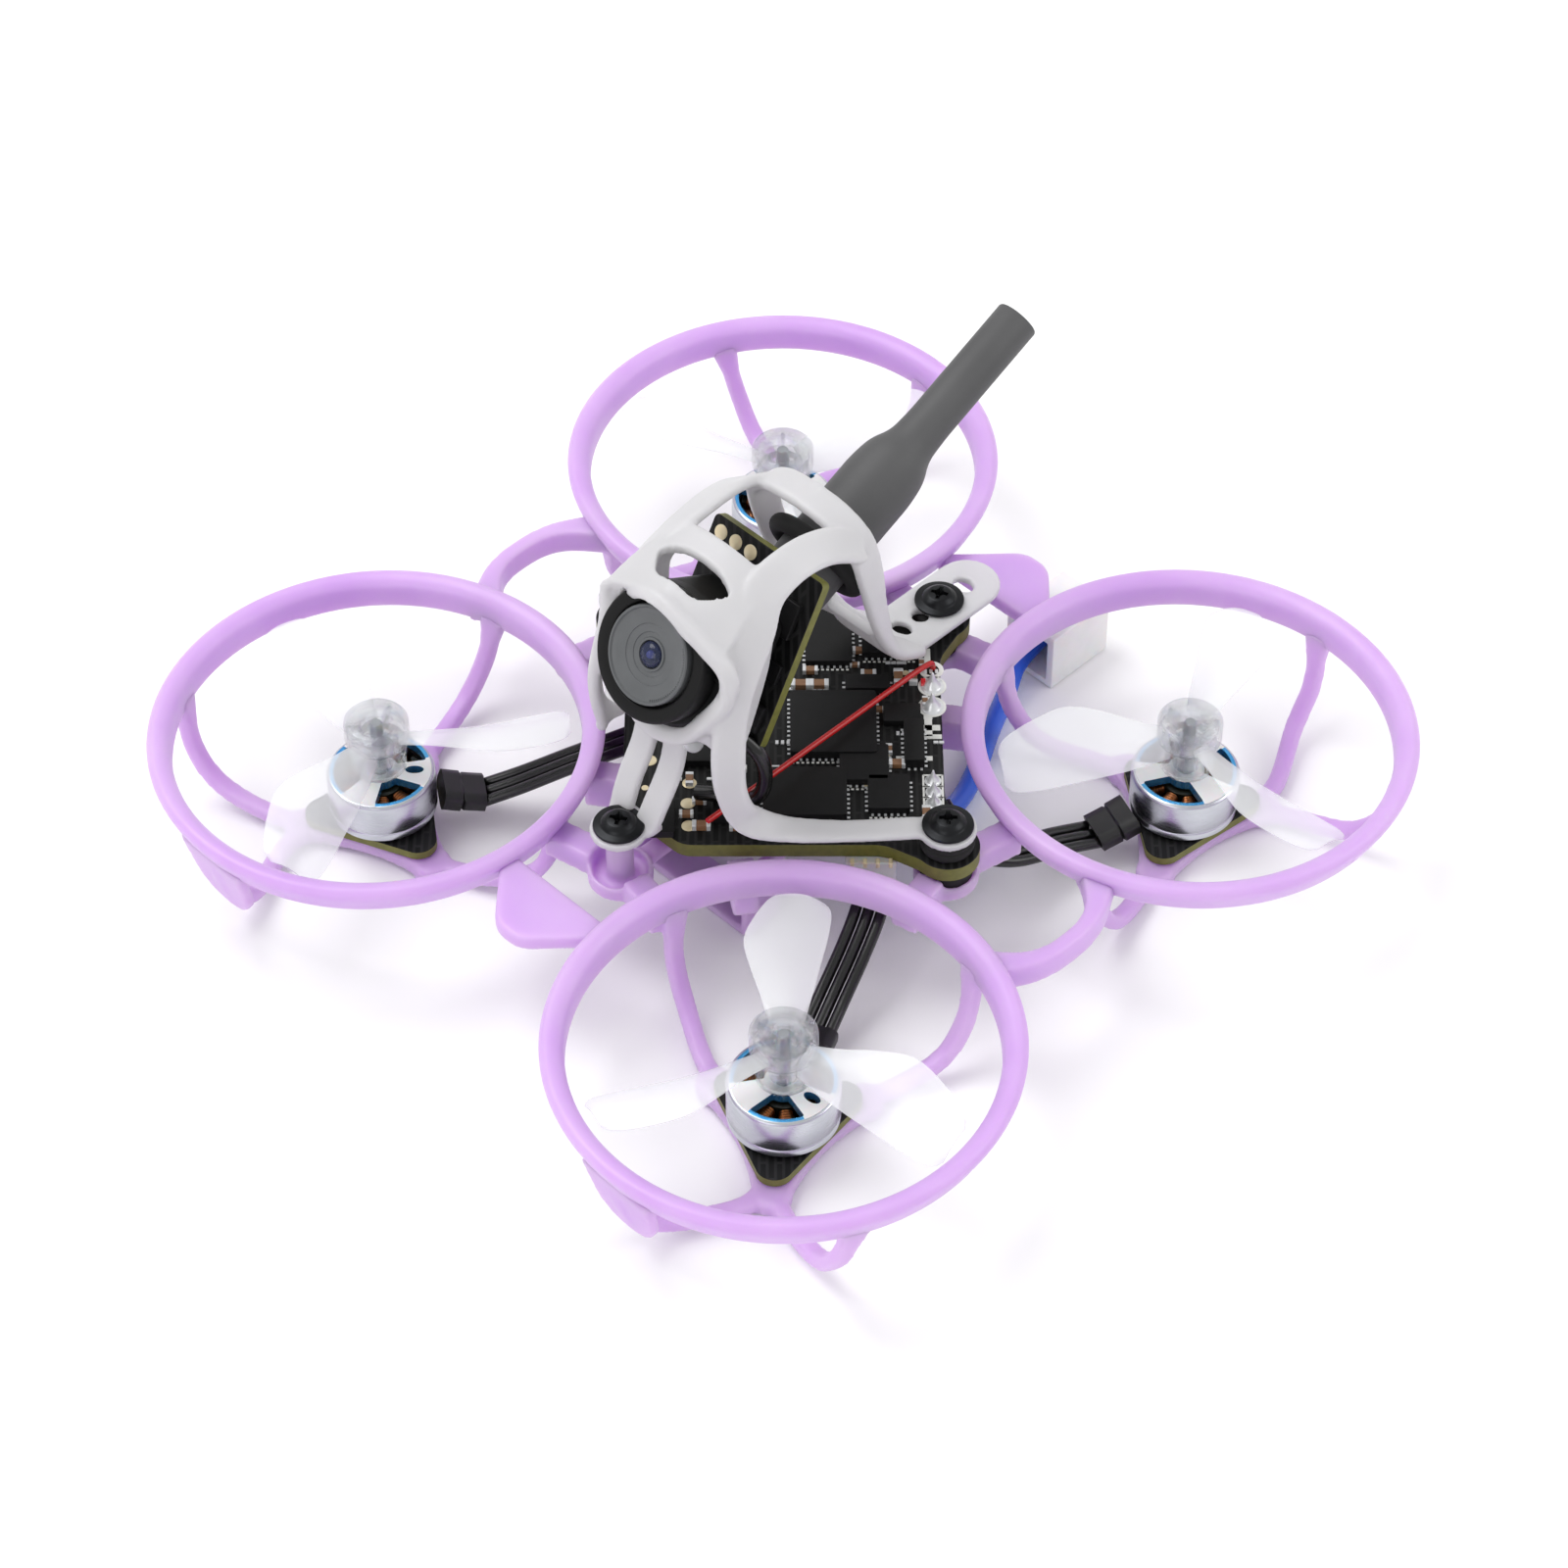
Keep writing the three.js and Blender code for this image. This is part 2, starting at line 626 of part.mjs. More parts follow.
// right half of the hoop round the camera, from the bottom to the top
const HOOP = [
  [0, -13.7, 9.6], [3.8, -13.4, 11], [6, -12.5, 14.4], [6.6, -11.4, 18.2], [5.9, -10.9, 21],
  [3.6, -11, 23],
];
const HOOP_TOP = [0, -11.3, 23.9];
const SIDE_LEG = [
  [5.9, -10.6, 20.6], [6.6, -10.9, 15.2], [7.9, -12.2, 10.6], [8.7, -12.7, 7.6], [8.8, -11.6, 4.6],
  [9.2, -9.5, 2.6], [10.8, -7.4, 1.86], [MOUNT - 1.5, -1.5, 1.86],
];
const FRONT_LEG = [[0.9, -13.8, 10.2], [1.4, -14.6, 7.4], [1.5, -15.2, 4.5], [1.4, -15.5, 1.8]];
const CHEEK = [[6.4, -11, 19.5], [6.6, -8.4, 18.4], [6.3, -4.6, 19.4], [5.9, -1.2, 21.2]];

function collarPoint(degrees, radius = 5.25) {
  const axis = ANTENNA_END.clone().sub(ANTENNA_START).normalize();
  const centre = ANTENNA_START.clone().addScaledVector(axis, ANTENNA_RING_AT + 0.2);
  const upward = vec(0, -axis.z, axis.y);
  return centre.add(vec(1, 0, 0).multiplyScalar(radius * Math.cos(rad(degrees))))
    .addScaledVector(upward, radius * Math.sin(rad(degrees)));
}

function pierced(x, y, z0, z1, outer, inner) {
  return lathe([[inner, z0], [outer, z0], [outer, z1], [inner, z1], [inner, z0]], 12).translate(x, y, 0);
}

// one curved strip of the hood from the hoop to the collar, at a place from -1 (left) to 1
function hoodStrip(place, width) {
  const front = vec(place * 5.4, -11, 21.4 + 2.3 * (1 - place * place));
  const middle = vec(place * 6, -4, 21.9 + 2.4 * (1 - place * place));
  const back = collarPoint(90 - place * 62);
  return strip([front, middle, back], vec(1, 0, -place * 0.9), width, 0.9, 4);
}

function canopy() {
  const hoop = [...HOOP.map((p) => vec(...p)), vec(...HOOP_TOP),
    ...HOOP.slice(1).reverse().map((p) => mirrorX(vec(...p)))];
  const collar = [];
  for (let turn = 0; turn < 360; turn += 30) collar.push(collarPoint(turn));
  const pieces = [ringTube(hoop, 0.7, 18, 5), ringTube(collar, 0.55, 14, 5)];
  [[-0.98, 2.6], [-0.5, 3], [0.5, 3], [0.98, 2.6]].forEach(([place, width]) => {
    pieces.push(hoodStrip(place, width));
  });
  pieces.push(strip([vec(-5.6, -4, 23.4), vec(0, -4.2, 24.7), vec(5.6, -4, 23.4)],
    vec(0, 1, 0), 2.4, 0.9, 4));
  for (const sign of [-1, 1]) {
    const place = ([x, y, z]) => vec(sign * x, y, z);
    const turned = (t) => vec(-sign * 0.5, -0.8 + 0.5 * t, 0.9 - 0.9 * t);
    pieces.push(strip(SIDE_LEG.map(place), turned, 2.5, (t) => 0.9 - 0.35 * t, 10));
    pieces.push(strip(CHEEK.map(place), vec(0, 0.35, 1), 4.2, 0.8, 4));
    pieces.push(strip(FRONT_LEG.map(place), vec(1, 0, 0), 1.5, 0.8, 4));
    pieces.push(pierced(sign * MOUNT, 0, TAB_LOW, TAB_HIGH, 2.3, 0.75));
    const side = [collarPoint(90 - sign * 100), vec(sign * 4.6, 7.6, 10), vec(sign * 3, 10, 4.6),
      vec(sign * 1.6, 12.6, REAR_SEAT - 0.3)];
    pieces.push(strip(side, vec(1, 0, 0), 2.2, 0.8, 6));
  }
  pieces.push(pierced(0, -MOUNT, TAB_LOW, TAB_HIGH, 2.3, 0.75));
  pieces.push(box([-2.2, 1.2 - MOUNT, TAB_LOW], [2.2, 3 - MOUNT, TAB_HIGH]));
  let shell = union(pieces.map(solid));
  const rear = new THREE.Shape();
  rear.moveTo(-2.75, 11.6);
  rear.lineTo(2.75, 11.6);
  rear.lineTo(2.75, REAR_END - 2.75);
  rear.absarc(0, REAR_END - 2.75, 2.75, 0, Math.PI, false);
  rear.closePath();
  shell = shell.add(solid(slab(rear, REAR_SEAT - 0.6, REAR_SEAT, 5)));
  REAR_HOLES.forEach((y) => {
    shell = shell.subtract(solid(cylinder(0.75, 0, 4, 6).translate(0, y, 0)));
  });
  const camera = new THREE.Matrix4().copy(cameraMatrix);
  const clearance = [cylinder(5.35, 6.9, 12, 16).translate(0, LENS_UP, 0),
    box([-4.5, LENS_UP - 4.5, 0.7], [4.5, LENS_UP + 4.5, 7.7]),
    box([-6.1, -7.6, -0.75], [6.1, 7.6, 0.75])];
  clearance.forEach((room) => {
    shell = shell.subtract(solid(room.applyMatrix4(camera)));
  });
  const ringRoom = cylinder(4.68, ANTENNA_RING_AT - 1.6, ANTENNA_RING_AT + 2.4, 16);
  ringRoom.applyMatrix4(antennaMatrix());
  shell = shell.subtract(solid(ringRoom));
  return geometryOf(shell);
}

// ---------------------------------------------------------------- wiring on and behind the board

const RECEIVER_ROUTE = [
  [3.85, 13.3, 0.08], [3.87, 13.1, 0.75], [3.95, 12.3, 1.1], [4.25, 3, 1.7], [4.7, -13, 2.5],
];

// free battery lead: out of its terminal, down to the ground and into the plug's mouth
const BATTERY_ROUTE = [
  [10.6, 2.4, -2.95], [10.6, 3, -4.6], [10.4, 5.4, -7], [9.9, 8.4, -9], [9, 11.6, -10.1],
  [7.4, 15.2, -10.38], [5.2, 19.2, -10.4], [3.4, 23, -10.3], [2, 25.8, -9.7], [1.6, 29, -9.1],
  [1.6, 31.4, -9.1],
];

function motorPlug() {
  return box([-1.7, -2, -3.7], [1.1, 2, -BOARD_THICK - GAP]);
}

// two-step housing lying on the ground, with an open mouth towards the drone
function batteryPlug() {
  const front = solid(box([-0.35, 27, GROUND], [4.95, 34, -5.7]));
  const rear = solid(box([-0.35, 33, GROUND], [4.95, 36.6, -3.6]));
  const mouth = solid(box([0.3, 26, GROUND + 0.7], [4.3, 31.8, -6.4]));
  return geometryOf(front.add(rear).subtract(mouth));
}

function mirroredX(geometry) {
  const copy = geometry.index ? geometry.toNonIndexed() : geometry;
  copy.scale(-1, 1, 1);
  const p = copy.attributes.position.array;
  for (let i = 0; i < p.length; i += 9) {
    for (let k = 0; k < 3; k += 1) [p[i + k], p[i + 3 + k]] = [p[i + 3 + k], p[i + k]];
  }
  return copy;
}

// ---------------------------------------------------------------- assembly

const drone = new THREE.Group();
drone.position.z = RIM_HEIGHT;

function add(name, geometry, material, place = drone) {
  const mesh = new THREE.Mesh(geometry, material);
  mesh.name = name;
  place.add(mesh);
  return mesh;
}

add('duct_frame', ductFrame(), LAVENDER);

for (const quad of QUADS) {
  const { name, x, y, spin } = quad;
  const mount = new THREE.Group();
  mount.position.set(x * ARM, y * ARM, 0);
  drone.add(mount);
  // the three-cornered base is mirrored from the front right quarter
  const base = new THREE.Group();
  base.rotation.z = y < 0 ? 0 : Math.PI;
  mount.add(base);
  const mirrored = x * y > 0;
  add(`motor_board_${name}`, mirrored ? mirroredX(motorBoard()) : motorBoard(), BOARD_BLACK, base);
  add(`stator_${name}`, stator(), COPPER, mount);
  const rotor = new THREE.Group();
  rotor.rotation.z = rad(quad.blade);
  mount.add(rotor);
  add(`motor_bell_${name}`, motorBell(), BELL_SILVER, rotor);
  add(`motor_shaft_${name}`, motorShaft(), SHAFT_STEEL, rotor);
  add(`propeller_${name}`, propeller(spin), CLEAR, rotor);
  add(`lead_sleeve_${name}`, leadSleeve(quad), RUBBER_BLACK);
  for (const place of [-1, 0, 1]) {
    const lead = tube(leadPoints(name, place), LEAD_RADIUS, 7, 5);
    add(`motor_lead_${name}_${place + 2}`, lead, WIRE_BLACK);
  }
}

add('flight_board', flightBoard(), BOARD_BLACK);
[['right', EARS[0], TAB_LOW], ['left', EARS[1], TAB_LOW], ['rear', EARS[2], REAR_SEAT - 0.6]]
  .forEach(([name, [x, y], top]) => {
    add(`grommet_${name}`, grommet(top - GAP), RUBBER_BLACK).position.set(x, y, 0);
  });
[['front', POSTS[0], TAB_HIGH], ['right', POSTS[1], TAB_HIGH], ['left', POSTS[2], TAB_HIGH],
  ['rear', POSTS[3], REAR_SEAT]].forEach(([name, [x, y], seat]) => {
  add(`screw_${name}`, screw(seat + GAP), SCREW_BLACK).position.set(x, y, 0);
});
add('processor_chip', box([-2.4, -2.4, GAP], [2.4, 2.4, 0.9]), CHIP_BLACK).position.set(3.2, 5.2, 0);
add('driver_chip', box([-3.3, -2.5, GAP], [3.3, 2.5, 0.8]).rotateZ(Math.PI / 4), CHIP_BLACK)
  .position.set(6.4, -3.4, 0);
add('canopy', canopy(), CANOPY_WHITE);

const cameraMount = new THREE.Group();
cameraMount.applyMatrix4(cameraMatrix);
drone.add(cameraMount);
add('video_board', videoBoard(), BOARD_BLACK, cameraMount);
add('camera_housing', cameraHousing(), CAMERA_BLACK, cameraMount);
add('lens_barrel', lensBarrel(), LENS_GREY, cameraMount);
add('lens_glass', lensGlass(), GLASS, cameraMount);

const antennaMount = new THREE.Group();
antennaMount.applyMatrix4(antennaMatrix());
drone.add(antennaMount);
add('antenna_sleeve', antennaSleeve(), SLEEVE_GREY, antennaMount);
add('antenna_ring', antennaRing(), RUBBER_BLACK, antennaMount);

add('receiver_antenna', tube(RECEIVER_ROUTE.map((p) => vec(...p)), 0.24, 12, 5), WIRE_RED);

const motorPlugMesh = add('motor_plug', motorPlug(), PLUG_WHITE);
motorPlugMesh.position.set(13.5, -3.8, 0);
motorPlugMesh.rotation.z = -Math.PI / 4;

add('lead_terminal', box([-1.2, -1.2, -2.6], [1.2, 1.2, -BOARD_THICK - GAP]), PLUG_WHITE)
  .position.set(BATTERY_ROUTE[0][0], BATTERY_ROUTE[0][1], 0);
add('battery_lead', tube(BATTERY_ROUTE.map((p) => vec(...p)), 0.85, 16, 8), WIRE_BLUE);
add('battery_plug', batteryPlug(), PLUG_WHITE);

export default drone;
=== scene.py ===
import math

import bmesh
import bpy
from mathutils import Matrix, Vector


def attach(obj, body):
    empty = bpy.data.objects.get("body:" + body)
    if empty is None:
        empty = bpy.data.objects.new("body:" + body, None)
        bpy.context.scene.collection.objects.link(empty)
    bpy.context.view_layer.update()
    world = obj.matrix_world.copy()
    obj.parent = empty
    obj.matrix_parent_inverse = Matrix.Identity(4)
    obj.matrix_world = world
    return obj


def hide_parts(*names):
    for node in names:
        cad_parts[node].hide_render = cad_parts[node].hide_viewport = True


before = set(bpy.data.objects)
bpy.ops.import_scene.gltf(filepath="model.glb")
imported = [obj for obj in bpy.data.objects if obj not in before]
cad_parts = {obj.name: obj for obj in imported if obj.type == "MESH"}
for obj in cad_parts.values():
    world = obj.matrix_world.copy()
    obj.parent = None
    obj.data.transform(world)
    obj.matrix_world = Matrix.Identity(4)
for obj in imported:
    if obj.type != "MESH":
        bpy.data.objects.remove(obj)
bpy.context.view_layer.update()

bl_info = {
    "name": "Ducted Racing Drone",
    "version": (1, 0, 0),
    "blender": (4, 5, 0),
    "location": "View3D > Sidebar > Drone",
    "description": "Builds a small ducted racing drone with its camera, boards and wiring",
    "category": "Object",
}

# ---------------------------------------------------------------- sizes
# Shapes are drawn in millimetres, with heights from the rim plane of the ducts, the nose
# towards -Y, and are put into the row frame, in metres, when they become pieces.

MM = 0.001
PER_METRE = 1000
RIM_HEIGHT = 11.3  # of the rim plane over the ground
ROW = Matrix.Scale(MM, 4) @ Matrix.Translation((0, 0, RIM_HEIGHT))
GROUND = -RIM_HEIGHT
MOTOR_SPACING = 65  # across the diagonal
ARM = MOTOR_SPACING / 2 / math.sqrt(2)  # of each motor from the middle, in X and in Y
MOUNT = 18.03  # of each screw from the middle
BOARD_HALF = 12.7
CAMERA_TILT = math.radians(29)
VIDEO_CENTRE = Vector((0, -4.6, 14.05))
ANTENNA_START = Vector((0, -0.74, 14.43))
ANTENNA_END = Vector((0, 26, 27))
CORNERS = (-53, 67, 187)  # azimuths of a motor pad's corners on the front right duct

# name, side in X, side in Y, direction of spin, azimuth of the first blade
QUADS = (
    ("front_right", 1, -1, 1, 11),
    ("front_left", -1, -1, -1, 50),
    ("rear_right", 1, 1, -1, 115),
    ("rear_left", -1, 1, 1, 75),
)


# ---------------------------------------------------------------- shapes

def polar(radius, degrees, z=0.0):
    """The point at a radius and an azimuth."""
    angle = math.radians(degrees)
    return Vector((radius * math.cos(angle), radius * math.sin(angle), z))


def rounded(points, radius, steps=3, closed=True):
    """The outline with each corner turned into a short curve."""
    result = []
    count = len(points)
    for i, corner in enumerate(points):
        corner = Vector(corner)
        if not closed and i in (0, count - 1):
            result.append(corner)
            continue
        before = Vector(points[i - 1]) - corner
        after = Vector(points[(i + 1) % count]) - corner
        reach = min(radius, before.length * 0.45, after.length * 0.45)
        start = corner + before.normalized() * reach
        end = corner + after.normalized() * reach
        for k in range(steps + 1):
            t = k / steps
            result.append(start * (1 - t) ** 2 + corner * 2 * t * (1 - t) + end * t * t)
    return result


def join_loops(bm, loops, closed=False, caps=True):
    """Skin over loops of points; a loop of one point is a pole."""
    rings = [[bm.verts.new(p) for p in loop] for loop in loops]
    size = max(len(ring) for ring in rings)
    pairs = list(zip(rings, rings[1:]))
    if closed:
        pairs.append((rings[-1], rings[0]))
    for low, high in pairs:
        for i in range(size):
            j = (i + 1) % size
            corners = [low[i % len(low)], low[j % len(low)], high[j % len(high)], high[i % len(high)]]
            bm.faces.new(list(dict.fromkeys(corners)))
    if caps and not closed:
        for ring in (rings[0], rings[-1]):
            if len(ring) > 2:
                bm.faces.new(ring)


def lathe(bm, profile, segments=64, matrix=Matrix(), closed=False):
    """A turned solid about local Z; profile is radius and height."""
    loops = []
    for radius, z in profile:
        if radius < 1e-5:
            loops.append([matrix @ Vector((0, 0, z))])
        else:
            loops.append([matrix @ polar(radius, 360 * i / segments, z) for i in range(segments)])
    join_loops(bm, loops, closed, caps=False)


def plate(bm, outline, low, high, matrix=Matrix(), chamfer=0.08):
    """A flat plate with its edges eased by an inset of the outline."""
    points = [Vector((p[0], p[1])) for p in outline]
    inset = []
    count = len(points)
    turn = sum(a.x * b.y - b.x * a.y for a, b in zip(points, points[1:] + points[:1]))
    for i, p in enumerate(points):
        along = (points[(i + 1) % count] - points[i - 1]).normalized()
        inward = Vector((-along.y, along.x)) * (1 if turn > 0 else -1)
        inset.append(p + inward * chamfer)
    levels = ((inset, low), (points, low + chamfer), (points, high - chamfer), (inset, high))
    join_loops(bm, [[matrix @ Vector((p.x, p.y, z)) for p in ring] for ring, z in levels])


def block(bm, low, high, matrix=Matrix(), edge=0.06):
    """A box between two corners with eased edges."""
    outline = [(low[0], low[1]), (high[0], low[1]), (high[0], high[1]), (low[0], high[1])]
    plate(bm, rounded(outline, edge * 1.5, 2), low[2], high[2], matrix, edge)


def curve_through(points, count, closed=False):
    """Points and directions along a smooth curve, at count equal steps of its parameter."""
    knots = [Vector(p) for p in points]
    size = len(knots)
    spans = size if closed else size - 1
    result = []
    for k in range(count if closed else count + 1):
        place = k / count * spans
        i = min(int(place), spans - 1)
        w = place - i
        b, c = knots[i % size], knots[(i + 1) % size]
        a = knots[i - 1] if closed or i > 0 else b * 2 - c
        d = knots[(i + 2) % size] if closed or i + 2 < size else c * 2 - b
        ab, bc, cd = (max(math.sqrt((q - p).length), 1e-4) for p, q in ((a, b), (b, c), (c, d)))
        start = ((b - a) / ab - (c - a) / (ab + bc) + (c - b) / bc) * bc
        end = ((c - b) / bc - (d - b) / (bc + cd) + (d - c) / cd) * bc
        third = b * 2 - c * 2 + start + end
        second = c * 3 - b * 3 - start * 2 - end
        point = b + start * w + second * w * w + third * w ** 3
        direction = start + second * 2 * w + third * 3 * w * w
        result.append((point, direction.normalized()))
    return result


def along_list(values, share):
    """The value part way along a list of evenly spaced values."""
    place = share * (len(values) - 1)
    i = min(int(place), len(values) - 2)
    low, high = values[i], values[i + 1]
    if isinstance(low, (int, float)):
        return low + (high - low) * (place - i)
    return Vector(low).lerp(Vector(high), place - i)


def sweep(bm, points, section, steps, side=None, closed=False, normals=None):
    """Carries a section along a curve; section and side may change with the share run."""
    path = curve_through(points, steps, closed)
    across = None
    loops = []
    for k, (point, along) in enumerate(path):
        share = k / steps
        if normals:
            across = along_list(normals, share).cross(along)
        elif side is not None:
            across = Vector(side)
        elif across is None:
            across = along.orthogonal()
        across = (across - along * across.dot(along)).normalized()
        up = along.cross(across)
        outline = section(share) if callable(section) else section
        loops.append([point + across * a + up * b for a, b in outline])
    join_loops(bm, loops, closed)


def circle(radius, sides=16):
    """A round section for a sweep."""
    return [tuple(polar(radius, 360 * i / sides)[:2]) for i in range(sides)]


def band(width, thick, edge=0.3):
    """A flat section with rounded corners for a sweep."""
    w, t = width / 2, thick / 2
    return [tuple(p) for p in rounded([(-w, -t), (w, -t), (w, t), (-w, t)], edge, 2)]


def copy_in(bm, other, matrix):
    """Adds a copy of another shape, placed by the matrix."""
    mesh = bpy.data.meshes.new("part")
    other.to_mesh(mesh)
    mesh.transform(matrix)
    bm.from_mesh(mesh)
    bpy.data.meshes.remove(mesh)


# ---------------------------------------------------------------- pieces

def settle(obj):
    """Turns the evaluated object into its plain mesh and drops the modifiers."""
    depsgraph = bpy.context.evaluated_depsgraph_get()
    mesh = bpy.data.meshes.new_from_object(obj.evaluated_get(depsgraph))
    obj.modifiers.clear()
    obj.data = mesh
    return obj


def as_object(name, bm, matrix=ROW):
    """An object from a shape, which is used up, put into the row frame."""
    bmesh.ops.recalc_face_normals(bm, faces=bm.faces)
    mesh = bpy.data.meshes.new(name)
    bm.to_mesh(mesh)
    bm.free()
    mesh.transform(matrix)
    obj = bpy.data.objects.new(name, mesh)
    bpy.context.scene.collection.objects.link(obj)
    return obj


def dress(obj, body, finishes, nodes=(), crease=35):
    """Gives a finished mesh its materials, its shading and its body."""
    if not obj.data.materials:
        for finish in finishes:
            obj.data.materials.append(material(finish))
    obj.data.shade_smooth()
    obj.data.set_sharp_from_angle(angle=math.radians(crease))
    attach(obj, body)
    if nodes:
        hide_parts(*nodes)
    return obj


def piece(name, bm, body, finishes, nodes=(), crease=35):
    """A finished piece straight from its shape."""
    return dress(as_object(name, bm), body, finishes, nodes, crease)


def cut(obj, cutter, matrix=ROW, crossing=False):
    """Subtracts the cutter shape from the object; crossing says that it cuts through itself."""
    tool = as_object("cutter", cutter, matrix)
    change = obj.modifiers.new("Cut", "BOOLEAN")
    change.operation = "DIFFERENCE"
    change.solver = "EXACT"
    change.use_self = crossing
    change.object = tool
    settle(obj)
    bpy.data.objects.remove(tool)
    return obj


def fuse(obj, voxel, rounds, cutters=()):
    """Melts overlapping solids into one moulding with small fillets."""
    def remesh():
        change = obj.modifiers.new("Fuse", "REMESH")
        change.mode = "VOXEL"
        change.voxel_size = voxel * MM
        settle(obj)

    remesh()
    for cutter in cutters:
        cut(obj, cutter)
    if cutters:
        remesh()
    soften = obj.modifiers.new("Soften", "SMOOTH")
    soften.factor = 0.5
    soften.iterations = rounds
    return settle(obj)


def add_node(tree, kind, settings=None, links=None):
    """Adds a node; settings are properties or input values, links are input to output."""
    node = tree.nodes.new(kind)
    for key, value in (settings or {}).items():
        if isinstance(key, int) or key in node.inputs:
            node.inputs[key].default_value = value
        else:
            setattr(node, key, value)
    for key, source in (links or {}).items():
        tree.links.new(source, node.inputs[key])
    return node


def copies_tree():
    """Puts a copy of one shape on every point, turned by its 'turn' and sized by its 'size'."""
    known = bpy.data.node_groups.get("Copies on points")
    if known:
        return known
    tree = bpy.data.node_groups.new("Copies on points", "GeometryNodeTree")
    tree.interface.new_socket("Points", in_out="INPUT", socket_type="NodeSocketGeometry")
    tree.interface.new_socket("Shape", in_out="INPUT", socket_type="NodeSocketObject")
    tree.interface.new_socket("Finish", in_out="INPUT", socket_type="NodeSocketMaterial")
    tree.interface.new_socket("Copies", in_out="OUTPUT", socket_type="NodeSocketGeometry")
    given = add_node(tree, "NodeGroupInput")
    shape = add_node(tree, "GeometryNodeObjectInfo", {}, {"Object": given.outputs["Shape"]})
    turn = add_node(tree, "GeometryNodeInputNamedAttribute", {"data_type": "FLOAT_VECTOR", "Name": "turn"})
    size = add_node(tree, "GeometryNodeInputNamedAttribute", {"data_type": "FLOAT_VECTOR", "Name": "size"})
    euler = add_node(tree, "FunctionNodeEulerToRotation", {}, {0: turn.outputs["Attribute"]})
    placed = add_node(tree, "GeometryNodeInstanceOnPoints", {}, {
        "Points": given.outputs["Points"],
        "Instance": shape.outputs["Geometry"],
        "Rotation": euler.outputs[0],
        "Scale": size.outputs["Attribute"],
    })
    real = add_node(tree, "GeometryNodeRealizeInstances", {}, {"Geometry": placed.outputs["Instances"]})
    finish = add_node(tree, "GeometryNodeSetMaterial", {}, {
        "Geometry": real.outputs["Geometry"], "Material": given.outputs["Finish"],
    })
    add_node(tree, "NodeGroupOutput", {}, {"Copies": finish.outputs["Geometry"]})
    return tree


def copies(name, bm, spots, finish):
    """One mesh with a copy of the shape at each spot: place, turn in degrees, size."""
    source = as_object(name + "_shape", bm, Matrix())
    mesh = bpy.data.meshes.new(name)
    mesh.from_pydata([spot[0] for spot in spots], [], [])
    turn = mesh.attributes.new("turn", "FLOAT_VECTOR", "POINT")
    size = mesh.attributes.new("size", "FLOAT_VECTOR", "POINT")
    for i, spot in enumerate(spots):
        turn.data[i].vector = [math.radians(a) for a in (spot[1] if len(spot) > 1 else (0, 0, 0))]
        size.data[i].vector = spot[2] if len(spot) > 2 else (1, 1, 1)
    obj = bpy.data.objects.new(name, mesh)
    bpy.context.scene.collection.objects.link(obj)
    tree = copies_tree()
    modifier = obj.modifiers.new("Copies", "NODES")
    modifier.node_group = tree
    sockets = {item.name: item.identifier for item in tree.interface.items_tree}
    modifier[sockets["Shape"]] = source
    modifier[sockets["Finish"]] = material(finish)
    settle(obj)
    obj.data.materials.clear()
    obj.data.materials.append(material(finish))
    bpy.data.objects.remove(source)
    obj.data.transform(ROW)
    return obj


# ---------------------------------------------------------------- finishes

def linear(code):
    """An sRGB hex colour as linear RGBA."""
    channels = [int(code[i:i + 2], 16) / 255 for i in (1, 3, 5)]
    return [c / 12.92 if c <= 0.04045 else ((c + 0.055) / 1.055) ** 2.4 for c in channels] + [1.0]


